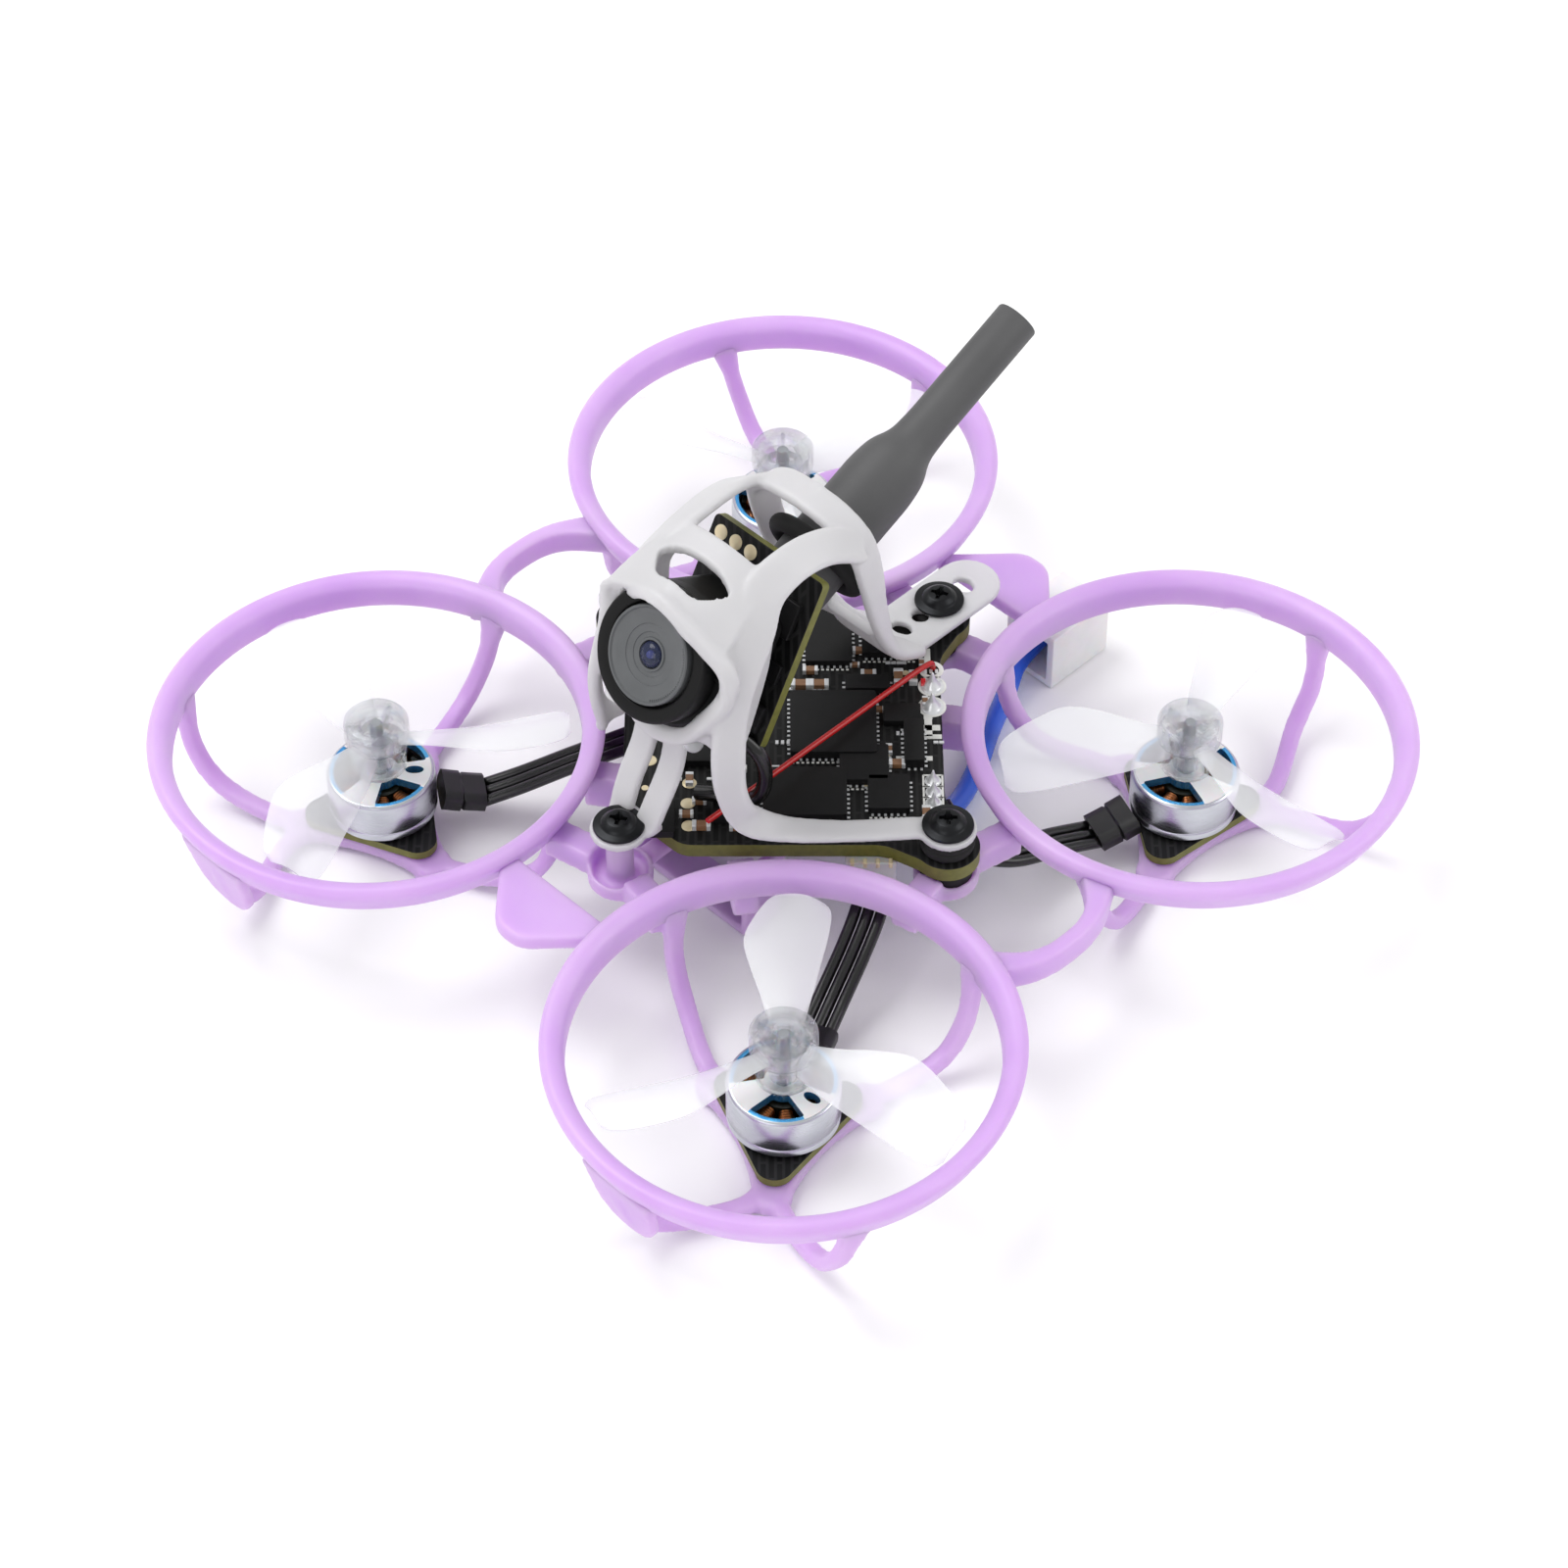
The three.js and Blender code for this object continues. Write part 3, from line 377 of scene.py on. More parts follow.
# Each finish: base and second colour, size of the colour patches, roughness range, size and
# depth of the surface grain, all in millimetres, then the shader's own values.
FINISHES = {
    # moulded nylon, slightly see-through: light bleeds through the thin edges
    "lavender_nylon": dict(
        base="#C093DB", second="#DBC0EB", patch=11, rough=(0.34, 0.46), grain=0.35, depth=0.006,
        values={"Subsurface Weight": 0.75, "Subsurface Radius": (1.0, 0.72, 1.0),
                "Subsurface Scale": 0.0028, "IOR": 1.5, "Transmission Weight": 0.12}),
    # undyed nylon with a frosted skin: milky, with dark things showing faintly behind
    "frosted_nylon": dict(
        base="#DAD9DC", second="#E4E3E5", patch=6, rough=(0.36, 0.5), grain=0.25, depth=0.006,
        values={"Subsurface Weight": 0.6, "Subsurface Radius": (1.0, 0.98, 0.95),
                "Subsurface Scale": 0.002, "IOR": 1.5, "Transmission Weight": 0.3}),
    # injection-moulded polycarbonate: clear, faintly smoky and glossy, with a painted dark reflection along
    # its edges from the rim colour
    "clear_polycarbonate": dict(
        base="#979DA4", second="#B2B7BC", patch=6, rough=(0.02, 0.06), grain=1.2, depth=0.004,
        # rim: painted dark reflection where the view runs along the surface
        rim="#0C0E10", thin=(0.2, 0.9),
        values={"Transmission Weight": 0.2, "IOR": 1.45, "Coat Weight": 0.6, "Coat Roughness": 0.04}),
    # the same plastic in the thick hub: clearer, with sharper lights and darks; the darks along its edges are
    # a painted reflection from the rim colour
    "clear_hub": dict(
        base="#D3D8DC", second="#E4E7EA", patch=2, rough=(0.01, 0.03), grain=1.2, depth=0.003,
        # rim: painted dark reflection where the view runs along the surface
        rim="#1C2026",
        values={"Transmission Weight": 1.0, "IOR": 1.49, "Alpha": 0.36, "Coat Weight": 1.0,
                "Coat Roughness": 0.02}),
    # turned and polished aluminium with lathe lines round the side, drawn coarser than the real
    # 0.05 mm so that they show
    "turned_aluminium": dict(
        base="#D3D6DA", second="#B9BDC3", patch=3, rough=(0.2, 0.36), grain=0.12, depth=0.004,
        stretch=(0.05, 0.05, 6), values={"Metallic": 1.0}),
    # blue anodised aluminium on the cut edges of the bell
    "blue_anodised": dict(
        base="#1E88D0", second="#6FC1EE", patch=1.5, rough=(0.2, 0.3), grain=0.15, depth=0.003,
        values={"Metallic": 0.75}),
    # ground steel pin
    "ground_steel": dict(
        base="#C4C7CB", second="#9EA2A8", patch=1, rough=(0.18, 0.3), grain=0.08, depth=0.003,
        values={"Metallic": 1.0}),
    # enamelled copper wire
    "copper_wire": dict(
        base="#B0682E", second="#6E3A18", patch=0.7, rough=(0.22, 0.4), grain=0.1, depth=0.004,
        values={"Metallic": 0.85, "Coat Weight": 0.4}),
    # stacked silicon steel, coated dark olive
    "lamination_steel": dict(
        base="#2B2A1C", second="#15150F", patch=1, rough=(0.35, 0.5), grain=0.12, depth=0.006,
        stretch=(0.1, 0.1, 8), values={"Metallic": 0.4}),
    # glossy black solder mask over faint copper tracks
    "solder_mask": dict(
        base="#060606", second="#0D0D0E", patch=2.2, rough=(0.4, 0.5), grain=0.5, depth=0.006,
        values={"Specular IOR Level": 0.22}, tracks=True),
    # cut edge of glass-epoxy board: olive with fine fibre streaks
    "board_edge": dict(
        base="#77772F", second="#55551F", patch=0.6, rough=(0.45, 0.6), grain=0.12, depth=0.01,
        stretch=(1, 1, 4), values={}),
    # immersion gold on copper pads
    "gold_pad": dict(
        base="#F5E9CB", second="#EAD5A4", patch=0.8, rough=(0.26, 0.38), grain=0.2, depth=0.002,
        values={"Metallic": 0.25, "Specular IOR Level": 0.7}),
    # tinned solder joint
    "solder": dict(
        base="#EEEFF0", second="#D5D7DA", patch=0.5, rough=(0.24, 0.36), grain=0.3, depth=0.01,
        values={"Metallic": 0.45}),
    # white printed legend ink
    "white_ink": dict(
        base="#EFEFEC", second="#D5D5D0", patch=0.8, rough=(0.5, 0.6), grain=0.1, depth=0.002,
        values={}),
    # moulded epoxy of a chip, satin black with fine filler grain
    "chip_epoxy": dict(
        base="#0E0E0F", second="#161617", patch=1.2, rough=(0.45, 0.58), grain=0.09, depth=0.005,
        values={"Specular IOR Level": 0.22}),
    # fired ceramic body of a capacitor
    "capacitor_ceramic": dict(
        base="#8E6A4C", second="#765238", patch=0.4, rough=(0.4, 0.5), grain=0.1, depth=0.003,
        values={}),
    # moulded rubber, matt with a soft sheen
    "black_rubber": dict(
        base="#0D0D0E", second="#151516", patch=1.5, rough=(0.5, 0.66), grain=0.15, depth=0.008,
        values={"Specular IOR Level": 0.3}),
    # shrunk polyolefin tube, satin with faint wrinkles
    "shrink_sleeve": dict(
        base="#0C0C0D", second="#151516", patch=1.2, rough=(0.36, 0.5), grain=0.6, depth=0.02,
        values={}),
    # silicone insulation, soft satin
    "wire_black": dict(
        base="#060606", second="#0C0C0D", patch=2, rough=(0.36, 0.46), grain=0.3, depth=0.004,
        values={"Specular IOR Level": 0.3}),
    "wire_blue": dict(
        base="#2459D8", second="#3E7BF0", patch=3, rough=(0.34, 0.44), grain=0.3, depth=0.004,
        values={"Coat Weight": 0.15}),
    # red enamel over a fine wire, glossy
    "wire_red": dict(
        base="#C2141F", second="#8E0C14", patch=1.5, rough=(0.18, 0.28), grain=0.3, depth=0.002,
        values={"Coat Weight": 0.5}),
    # black oxide screw steel with an oily gleam
    "black_oxide": dict(
        base="#2C2D2F", second="#1B1C1E", patch=0.8, rough=(0.26, 0.42), grain=0.12, depth=0.005,
        values={"Metallic": 0.85}),
    # moulded black ABS of the camera body
    "black_abs": dict(
        base="#090909", second="#101011", patch=2, rough=(0.42, 0.54), grain=0.14, depth=0.006,
        values={"Specular IOR Level": 0.2}),
    # grey painted lens ring with fine turned steps
    "lens_ring": dict(
        base="#5E6062", second="#4E5052", patch=2, rough=(0.32, 0.42), grain=0.12, depth=0.003,
        values={"Specular IOR Level": 0.5}),
    # ground optical glass of the front lens, clear and bright, with a painted dark reflection along its edges
    # from the rim colour
    "lens_glass": dict(
        base="#C9CDD6", second="#DDE0E6", patch=1.1, rough=(0.02, 0.05), grain=1, depth=0.0,
        # rim: painted dark reflection where the view runs along the surface
        rim="#5A5E68",
        values={"Transmission Weight": 0.9, "IOR": 1.52, "Alpha": 0.45, "Coat Weight": 1.0,
                "Coat Roughness": 0.02}),
    # coated inner lens: a violet blue gleam
    "lens_coating": dict(
        base="#4E5AD0", second="#8A8FF0", patch=0.3, rough=(0.05, 0.1), grain=0.4, depth=0.0,
        values={"Coat Weight": 1.0, "Coat Roughness": 0.03}),
    # soft grey tube over the antenna, matt
    "antenna_tube": dict(
        base="#4A4A4B", second="#565657", patch=5, rough=(0.5, 0.6), grain=0.2, depth=0.008,
        values={"Specular IOR Level": 0.35}),
    # natural white nylon of the plugs
    "plug_nylon": dict(
        base="#F1F1F0", second="#E4E4E2", patch=2, rough=(0.3, 0.42), grain=0.2, depth=0.004,
        values={"Subsurface Weight": 0.35, "Subsurface Scale": 0.001}),
    # red light pipe of a status light
    "red_lamp": dict(
        base="#D8202A", second="#F04A50", patch=0.4, rough=(0.15, 0.25), grain=0.2, depth=0.001,
        values={"Coat Weight": 0.5}),
    # white paper-like studio floor
    "studio_paper": dict(
        base="#FBFBFB", second="#F8F8F8", patch=90, rough=(0.75, 0.85), grain=1.5, depth=0.004,
        values={"Specular IOR Level": 0.2}),
}


# finishes whose base colour the user sets in the panel
CHOSEN = {"lavender_nylon": "frame_colour", "frosted_nylon": "canopy_colour", "wire_blue": "lead_colour"}
TRACK_TINT = 0.0144  # how much the tracks lighten the solder mask over them


def material(name):
    """The procedural material of a finish, made once.

    A material that the frame brings under the same name comes first and is used as it is. It has
    six of them: clear_polycarbonate, lens_glass, black_rubber, wire_black, wire_blue, wire_red.
    """
    known = bpy.data.materials.get(name)
    if known:
        return known
    spec = FINISHES[name]
    base = linear(spec["base"])
    if name in CHOSEN:
        base = [*getattr(bpy.context.scene.drone_look, CHOSEN[name]), 1.0]
    made = bpy.data.materials.new(name)
    made.use_nodes = True
    tree = made.node_tree
    tree.nodes.clear()
    where = add_node(tree, "ShaderNodeTexCoord").outputs["Object"]
    patches = add_node(tree, "ShaderNodeTexNoise", {"Scale": PER_METRE / spec["patch"], "Detail": 3.0},
                       {"Vector": where})
    tint = add_node(tree, "ShaderNodeMix", {"data_type": "RGBA", 6: base, 7: linear(spec["second"])},
                    {0: patches.outputs["Fac"]})
    colour = tint.outputs[2]
    stretched = add_node(tree, "ShaderNodeMapping", {"Scale": spec.get("stretch", (1, 1, 1))},
                         {"Vector": where})
    grain = add_node(tree, "ShaderNodeTexNoise", {"Scale": PER_METRE / spec["grain"], "Detail": 2.0},
                     {"Vector": stretched.outputs["Vector"]})
    height = grain.outputs["Fac"]
    if spec.get("tracks"):
        # real tracks are about 0.15 mm apart: these are 0.62 mm apart, as coarse as they need to show
        turned = add_node(tree, "ShaderNodeMapping", {"Rotation": (0, 0, math.radians(45))},
                          {"Vector": where})
        tracks = add_node(tree, "ShaderNodeTexBrick", {
            "Scale": 1.0, "Mortar Size": 0.12 * MM, "Brick Width": 3.1 * MM, "Row Height": 0.62 * MM,
            "Color1": (0, 0, 0, 1), "Color2": (0.35, 0.35, 0.35, 1), "Mortar": (1, 1, 1, 1),
        }, {"Vector": turned.outputs["Vector"]})
        colour = add_node(tree, "ShaderNodeMix", {"data_type": "RGBA", 0: TRACK_TINT},
                          {6: colour, 7: tracks.outputs["Color"]}).outputs[2]
        height = tracks.outputs["Fac"]
    if "rim" in spec:
        # clear plastic is painted darker where the view runs along it: a painted dark reflection along its
        # edges, mixed towards the rim colour
        along = add_node(tree, "ShaderNodeLayerWeight", {"Blend": 0.35})
        edge = add_node(tree, "ShaderNodeMath", {"operation": "POWER", 1: 1.6},
                        {0: along.outputs["Facing"]})
        colour = add_node(tree, "ShaderNodeMix", {"data_type": "RGBA", 7: linear(spec["rim"])},
                          {0: edge.outputs[0], 6: colour}).outputs[2]
    low, high = spec["rough"]
    rough = add_node(tree, "ShaderNodeMapRange", {"To Min": low, "To Max": high},
                     {"Value": grain.outputs["Fac"]})
    bump = add_node(tree, "ShaderNodeBump", {
        "Strength": 0.15 if spec.get("tracks") else 0.6, "Distance": spec["depth"] * MM,
    }, {"Height": height})
    shader = add_node(tree, "ShaderNodeBsdfPrincipled", spec["values"], {
        "Base Color": colour, "Roughness": rough.outputs["Result"], "Normal": bump.outputs["Normal"],
    })
    if "thin" in spec:
        # a thin clear sheet hides least where it is seen square on, and most along its edge
        least, most = spec["thin"]
        cover = add_node(tree, "ShaderNodeMapRange", {"To Min": least, "To Max": most},
                         {"Value": edge.outputs[0]})
        tree.links.new(cover.outputs["Result"], shader.inputs["Alpha"])
    add_node(tree, "ShaderNodeOutputMaterial", {}, {"Surface": shader.outputs["BSDF"]})
    return made


# ---------------------------------------------------------------- duct frame

RIM_PROFILE = [(16.4, -2.3), (16.4, -0.62), (16.55, -0.1), (16.95, 0.24), (17.4, 0.42), (17.9, 0.42),
               (18.35, -0.05), (18.22, -0.6), (17.72, -1.6), (17.45, -2.3)]
# azimuths on the front right duct: pad corner, lowest outer point, foot of the rim
SPOKES = ((-53, -88, -92), (-53, -34, -27), (67, 71, 76), (187, 169, 165))
PAD_TOP = -9.75
POSTS = ((0, -MOUNT, 1.5), (MOUNT, 0, -3.05), (-MOUNT, 0, -3.05), (0, MOUNT, -3.05))
BAY = 6.0


def star_plate(reach, radius, hollow, steps=6):
    """Three-cornered outline with rounded corners and flanks pulled in to hollow."""
    outline = []
    for angle in CORNERS:
        for k in range(steps + 1):
            turn = angle - 68 + 136 * k / steps
            outline.append((polar(reach, angle) + polar(radius, turn))[:2])
        if hollow:
            here = Vector(outline[-1])
            there = (polar(reach, angle + 120) + polar(radius, angle + 52))[:2]
            middle = Vector(polar(hollow, angle + 60)[:2])
            for k in range(1, 6):
                t = k / 6
                outline.append(tuple(here * (1 - t) ** 2 + middle * 2 * t * (1 - t) + Vector(there) * t * t))
    return outline


def duct_place(x, y):
    """From the front right duct's own frame to each duct."""
    mirror = Matrix.Scale(-1, 4, (1, 0, 0)) if x * y > 0 else Matrix()
    turn = Matrix() if y < 0 else Matrix.Rotation(math.pi, 4, "Z")
    return Matrix.Translation((x * ARM, y * ARM, 0)) @ turn @ mirror


def web(bm, start, duct, width, low, high, thin=0.0):
    """A straight web from a point towards a duct, up to its rim."""
    start, duct = Vector(start), Vector(duct)
    along = duct - start
    reach = along.length - 17.0
    turn = Matrix.Translation((start.x, start.y, 0)) @ Matrix.Rotation(math.atan2(along.y, along.x), 4, "Z")
    outline = [(thin, -width / 2), (reach, -width / 2), (reach, width / 2), (thin, width / 2)]
    plate(bm, outline, low, high, turn, 0.1)


def frame_webs():
    """The moulded frame but for the rims: spokes, pads, fans, arms, posts and tray."""
    bm = bmesh.new()
    quarter = bmesh.new()
    for corner, low, rim in SPOKES:
        middle = corner + (low - corner) * 0.35
        points = [polar(4.6, corner, -10.4), polar(8, middle, -10.4), polar(13.6, low, -9.3),
                  polar(16, (low + rim) / 2, -6.4), polar(16.95, rim, -1.7)]
        side = polar(1, rim + 90)
        sweep(quarter, points, lambda s: band(1.45 + 0.9 * max(0, s - 0.86) / 0.14, 1.3), 28, side)
    plate(quarter, star_plate(5.6, 1.7, 3.2), -11, PAD_TOP, chamfer=0.15)
    for angle in CORNERS:
        lathe(quarter, [(0, GROUND), (1.4, GROUND), (1.6, GROUND + 0.2), (1.6, PAD_TOP - 0.2),
                        (1.4, PAD_TOP), (0, PAD_TOP)], 24, Matrix.Translation(polar(6.65, angle)))
    fan = []
    for k in range(13):
        angle = math.pi + math.pi * k / 12
        fan.append((3.1 * math.cos(angle), -5.1 + 3.1 * math.sin(angle)))
    fan += [(3.5, -1.5), (-3.5, -1.5)]
    stand = (Matrix.Translation((0, -17.05, 0)) @ Matrix.Rotation(math.radians(13), 4, "X")
             @ Matrix.Rotation(math.pi / 2, 4, "X"))
    for name, x, y, spin, blade in QUADS:
        place = duct_place(x, y)
        copy_in(bm, quarter, place)
        if y < 0:
            plate(bm, fan, 0, 1.0, place @ stand, 0.15)
    quarter.free()
    for sign in (1, -1):
        arc = [(sign * 27.9, -6.8, -1.6), (sign * 30.4, -3.4, -1.6), (sign * 31, 0, -1.6),
               (sign * 30.4, 3.4, -1.6), (sign * 27.9, 6.8, -1.6)]
        sweep(bm, arc, lambda s: band(1.4 + 1.6 * abs(2 * s - 1) ** 3, 2.4), 24, (1, 0, 0))
    for side, low, high in ((-1, -1.75, -0.35), (1, -2.95, -1.55)):
        outline = [(-6.9, side * 24.2), (6.9, side * 24.2), (1.3, side * 30.1), (-1.3, side * 30.1)]
        plate(bm, rounded(outline, 1.1, 5), low, high, chamfer=0.15)
    for x, y, top in POSTS:
        profile = [(0, -3.85), (2.6, -3.85), (2.6, -2.4), (2.2, -2.4), (2.2, -3.25), (1.1, -3.25),
                   (1.1, top), (0, top)]
        lathe(bm, profile, 40, Matrix.Translation((x, y, 0)))
        for sign in (1, -1):
            duct = (sign * ARM, math.copysign(ARM, y)) if x == 0 else (math.copysign(ARM, x), sign * ARM)
            web(bm, (x, y), duct, 2.4, -3.8, -1.6, 2.2)
    tray(bm)
    obj = fuse(as_object("frame_webs", bm), 0.23, 5)
    holes = bmesh.new()
    for x, y, top in POSTS:
        lathe(holes, [(0, -3.1), (0.62, -3.1), (0.62, 4), (0, 4)], 20, Matrix.Translation((x, y, 0)))
    return cut(obj, holes)


def tray(bm):
    """Battery rails, floor straps and the cross bars under the flight board."""
    outer = BAY + 0.9
    for side in (-1, 1):
        low, high = sorted((side * BAY, side * outer))
        block(bm, (low, -12.5, -5.1), (high, 12.5, -3.8), edge=0.15)
        for end in (-1, 1):
            start = 7 if end > 0 else -11
            block(bm, (low, start, GROUND), (high, start + 4, -5), edge=0.15)
            web(bm, (side * (BAY + 0.5), end * 11.3), (side * ARM, end * ARM), 2.2, -4.9, -1.6)
        low, high = sorted((side * (outer - 0.2), side * (MOUNT - 2.3)))
        block(bm, (low, -0.8, -3.8), (high, 0.8, -2.7), edge=0.15)
    for end in (-1, 1):
        start = 7 if end > 0 else -11
        block(bm, (-outer, start, GROUND), (outer, start + 4, GROUND + 0.7), edge=0.15)
        block(bm, (-outer, end * 5.4 - 0.8, -4), (outer, end * 5.4 + 0.8, -2.9), edge=0.15)
        low, high = sorted((end * 6, end * (MOUNT - 2.3)))
        block(bm, (-0.9, low, -3.8), (0.9, high, -2.9), edge=0.15)
    block(bm, (-outer, -0.8, -3.8), (outer, 0.8, -2.9), edge=0.15)


def duct_rims():
    """The four turned rims of the ducts."""
    bm = bmesh.new()
    profile = rounded(RIM_PROFILE, 0.24, 3)
    for name, x, y, spin, blade in QUADS:
        lathe(bm, profile, 144, Matrix.Translation((x * ARM, y * ARM, 0)), closed=True)
    return bm


# ---------------------------------------------------------------- motors and propellers

def motor_board():
    """The three-cornered board under a motor."""
    bm = bmesh.new()
    plate(bm, star_plate(4.9, 1.5, 0, 10), PAD_TOP + 0.06, -8.85, chamfer=0.05)
    return bm


def paint_edges(obj, edge_index, tilt=0.5):
    """Gives the upright faces another of the object's materials."""
    for face in obj.data.polygons:
        if abs(face.normal.z) < tilt:
            face.material_index = edge_index


def bell_shape(name, place):
    """The turned bell with three windows and a small slot in its top."""
    bm = bmesh.new()
    profile = [(0.62, -5.55), (3.85, -5.55), (3.85, -8.6), (4.3, -8.6), (4.4, -8.5), (4.4, -7.95),
               (4.33, -7.9), (4.33, -7.8), (4.4, -7.75), (4.4, -5.05), (4.3, -4.85), (4.1, -4.75),
               (0.62, -4.75)]
    lathe(bm, profile, 96, closed=True)
    obj = as_object(name, bm)
    cutter = bmesh.new()
    for start, end in ((12, 98), (132, 218), (262, 328)):
        outline = [polar(3.8, start + (end - start) * k / 14)[:2] for k in range(15)]
        outline += [polar(1.5, end - 10 - (end - start - 20) * k / 7)[:2] for k in range(8)]
        plate(cutter, rounded(outline, 0.22, 2), -7, -4, chamfer=0.01)
    angles = [2 * math.pi * k / 20 for k in range(20)]
    loop = [(2.75 + 0.75 * math.cos(t), 0.42 * math.sin(t)) for t in angles]
    plate(cutter, loop, -7, -4, Matrix.Rotation(math.radians(355), 4, "Z"), 0.01)
    cut(obj, cutter)
    edge = obj.modifiers.new("Edges", "BEVEL")
    edge.width = 0.07 * MM
    edge.segments = 1
    edge.limit_method = "ANGLE"
    edge.angle_limit = math.radians(50)
    settle(obj)
    # blue on the cut edges and the rim, white on the spokes
    for face in obj.data.polygons:
        radius = math.hypot(face.center.x, face.center.y) / MM
        height = face.center.z / MM - RIM_HEIGHT
        inside = 0.9 < radius < 4.0 and -5.6 < height < -4.76
        rim = 3.72 < radius < 4.02 and height > -5
        spoke_top = face.normal.z > 0.9 and radius < 3.75 and height > -5
        if (inside and face.normal.z < 0.9) or rim:
            face.material_index = 1
        elif spoke_top:
            face.material_index = 2
    obj.data.transform(place)
    return obj


# radius, reach of the leading edge and of the trailing edge
BLADE_PLAN = [(1.7, 1.5, 1.1), (4.1, 2.3, 1.6), (6.7, 3.4, 2), (9.35, 4.1, 2.35), (12.3, 3.3, 2.75),
              (15.45, 1.8, 2.9)]


def blade_loop(r, lead, trail, spin):
    """Cross-section of a blade at radius r: a thin cambered leaf with a rounded tip."""
    share = (r - 1.7) / 13.75
    tip = math.sqrt(max(0.0, 1 - max(0.0, (r - 14.1) / 1.36) ** 2))
    middle = (lead - trail) / 2
    half_chord = (lead + trail) / 2 * (0.62 + 0.38 * tip)
    pitch = math.radians(38 - 22 * share)
    thick = (0.5 - 0.2 * share) * (0.45 + 0.55 * tip)
    top, bottom = [], []
    steps = 14
    for k in range(steps + 1):
        t = k / steps
        offset = middle + half_chord * (2 * t - 1)
        camber = 0.6 * math.sin(math.pi * t) * (1 - 0.4 * share)
        half = thick / 2 * (math.sin(math.pi * min(1, max(0, t))) ** 0.4 if 0 < k < steps else 0.25)
        for side, row in ((1, top), (-1, bottom)):
            lift = camber + side * half
            row.append(Vector((
                r,
                spin * (offset * math.cos(pitch) - lift * math.sin(pitch)),
                -1.7 + 0.5 * share + offset * math.sin(pitch) + lift * math.cos(pitch),
            )))
    return top + bottom[::-1]


def propeller(name, spin, place):
    """Three leaf blades round a two-tier clear hub with ribs."""
    leaf = bmesh.new()
    plan = [tuple(p) for p, along in curve_through(BLADE_PLAN, 60)]
    join_loops(leaf, [blade_loop(r, lead, trail, spin) for r, lead, trail in plan[:45:3] + plan[45:]])
    obj = copies(name, leaf, [((0, 0, 0), (0, 0, turn)) for turn in (0, 120, 240)], "clear_polycarbonate")
    hub = bmesh.new()
    lathe(hub, rounded([
        (0.62, 0.2), (0.75, 1.05), (2.35, 1.05), (2.65, 0.75), (2.65, -0.95), (2.3, -1.15),
        (2.3, -0.75), (2.3, 0.3), (1.5, 0.55), (1.25, 0.2), (1.25, -1.3), (2.1, -1.35), (2.35, -1.6),
        (2.2, -4.1), (1.75, -4.1), (1.7, -1.9), (1.2, -1.9), (1.15, -4.1), (0.62, -4.1),
    ], 0.12, 2), 64, closed=True)
    for turn in (60, 180, 300):
        block(hub, (1.2, -0.16, -1.1), (2.4, 0.16, 0.4), Matrix.Rotation(math.radians(turn), 4, "Z"), 0.04)
    part = as_object(name + "_hub", hub)
    base = bmesh.new()
    base.from_mesh(obj.data)
    blades = len(base.faces)
    base.from_mesh(part.data)
    base.faces.ensure_lookup_table()
    for face in base.faces[blades:]:
        face.material_index = 1
    bmesh.ops.recalc_face_normals(base, faces=base.faces)
    base.to_mesh(obj.data)
    base.free()
    bpy.data.objects.remove(part)
    obj.data.materials.append(material("clear_hub"))
    obj.data.transform(place)
    return obj


def coil():
    """Five turns of wire round one tooth of the stator, the tooth lying along X."""
    bm = bmesh.new()
    outline = rounded([(-0.42, -1.0), (0.42, -1.0), (0.42, 1.0), (-0.42, 1.0)], 0.34, 4)
    for turn in range(6):
        x = 1.95 + turn * 0.235
        grow = 1 + 0.09 * turn
        points = [(x, p[0] * grow, -7.05 + p[1] * 0.98) for p in outline]
        sweep(bm, points, circle(0.125, 6), len(points), closed=True)
    return bm


def stator_core():
    """The hub and nine teeth that the wire is wound on."""
    bm = bmesh.new()
    lathe(bm, [(0.62, -8.79), (1.8, -8.79), (1.8, -5.95), (1.65, -5.86), (1.35, -5.86), (1.35, -6.05),
               (0.95, -6.05), (0.95, -5.9), (0.62, -5.9)], 40, closed=True)
    for turn in range(9):
        spin = Matrix.Rotation(math.radians(40 * turn), 4, "Z")
        block(bm, (1.6, -0.3, -7.95), (3.4, 0.3, -6.15), spin, 0.04)
        outline = [polar(3.3, -14)[:2], polar(3.62, -15)[:2], polar(3.7, -8)[:2], polar(3.72, 0)[:2],
                   polar(3.7, 8)[:2], polar(3.62, 15)[:2], polar(3.3, 14)[:2]]
        plate(bm, outline, -8.05, -6.05, spin, 0.03)
    return bm


# ---------------------------------------------------------------- motor wiring

LEAD_ROUTES = {
    "front_right": [(18.9, -15.3, -9), (17.9, -12.6, -8), (16.9, -9.2, -5.9), (16, -6.7, -4.3),
                    (15.05, -5.05, -3.3)],
    "front_left": [(-18.3, -16.2, -9), (-16.2, -14, -7.6), (-13, -11.2, -5), (-10.8, -9.4, -3.3),
                   (-9.3, -8.1, -2.15)],
    "rear_right": [(20, 15.4, -9), (19.2, 12.3, -8), (18, 7, -6.3), (15.9, 4.6, -4.9),
                   (13.6, 3.9, -2.4)],
    "rear_left": [(-18.3, 16.2, -9), (-16.2, 14, -7.6), (-13, 11.2, -5), (-10.8, 9.4, -3.3),
                  (-9.3, 8.1, -2.15)],
}
LEAD_PITCH = 1.02


def motor_leads():
    """Three leads from each sleeve to the flight board."""
    bm = bmesh.new()
    for route in LEAD_ROUTES.values():
        path = curve_through(route, len(route) - 1)
        for place in (-1, 0, 1):
            points = []
            for point, along in path:
                side = Vector((-along.y, along.x, 0)).normalized()
                points.append(point + side * place * LEAD_PITCH)
            sweep(bm, points, circle(0.47, 16), 36)
    return bm


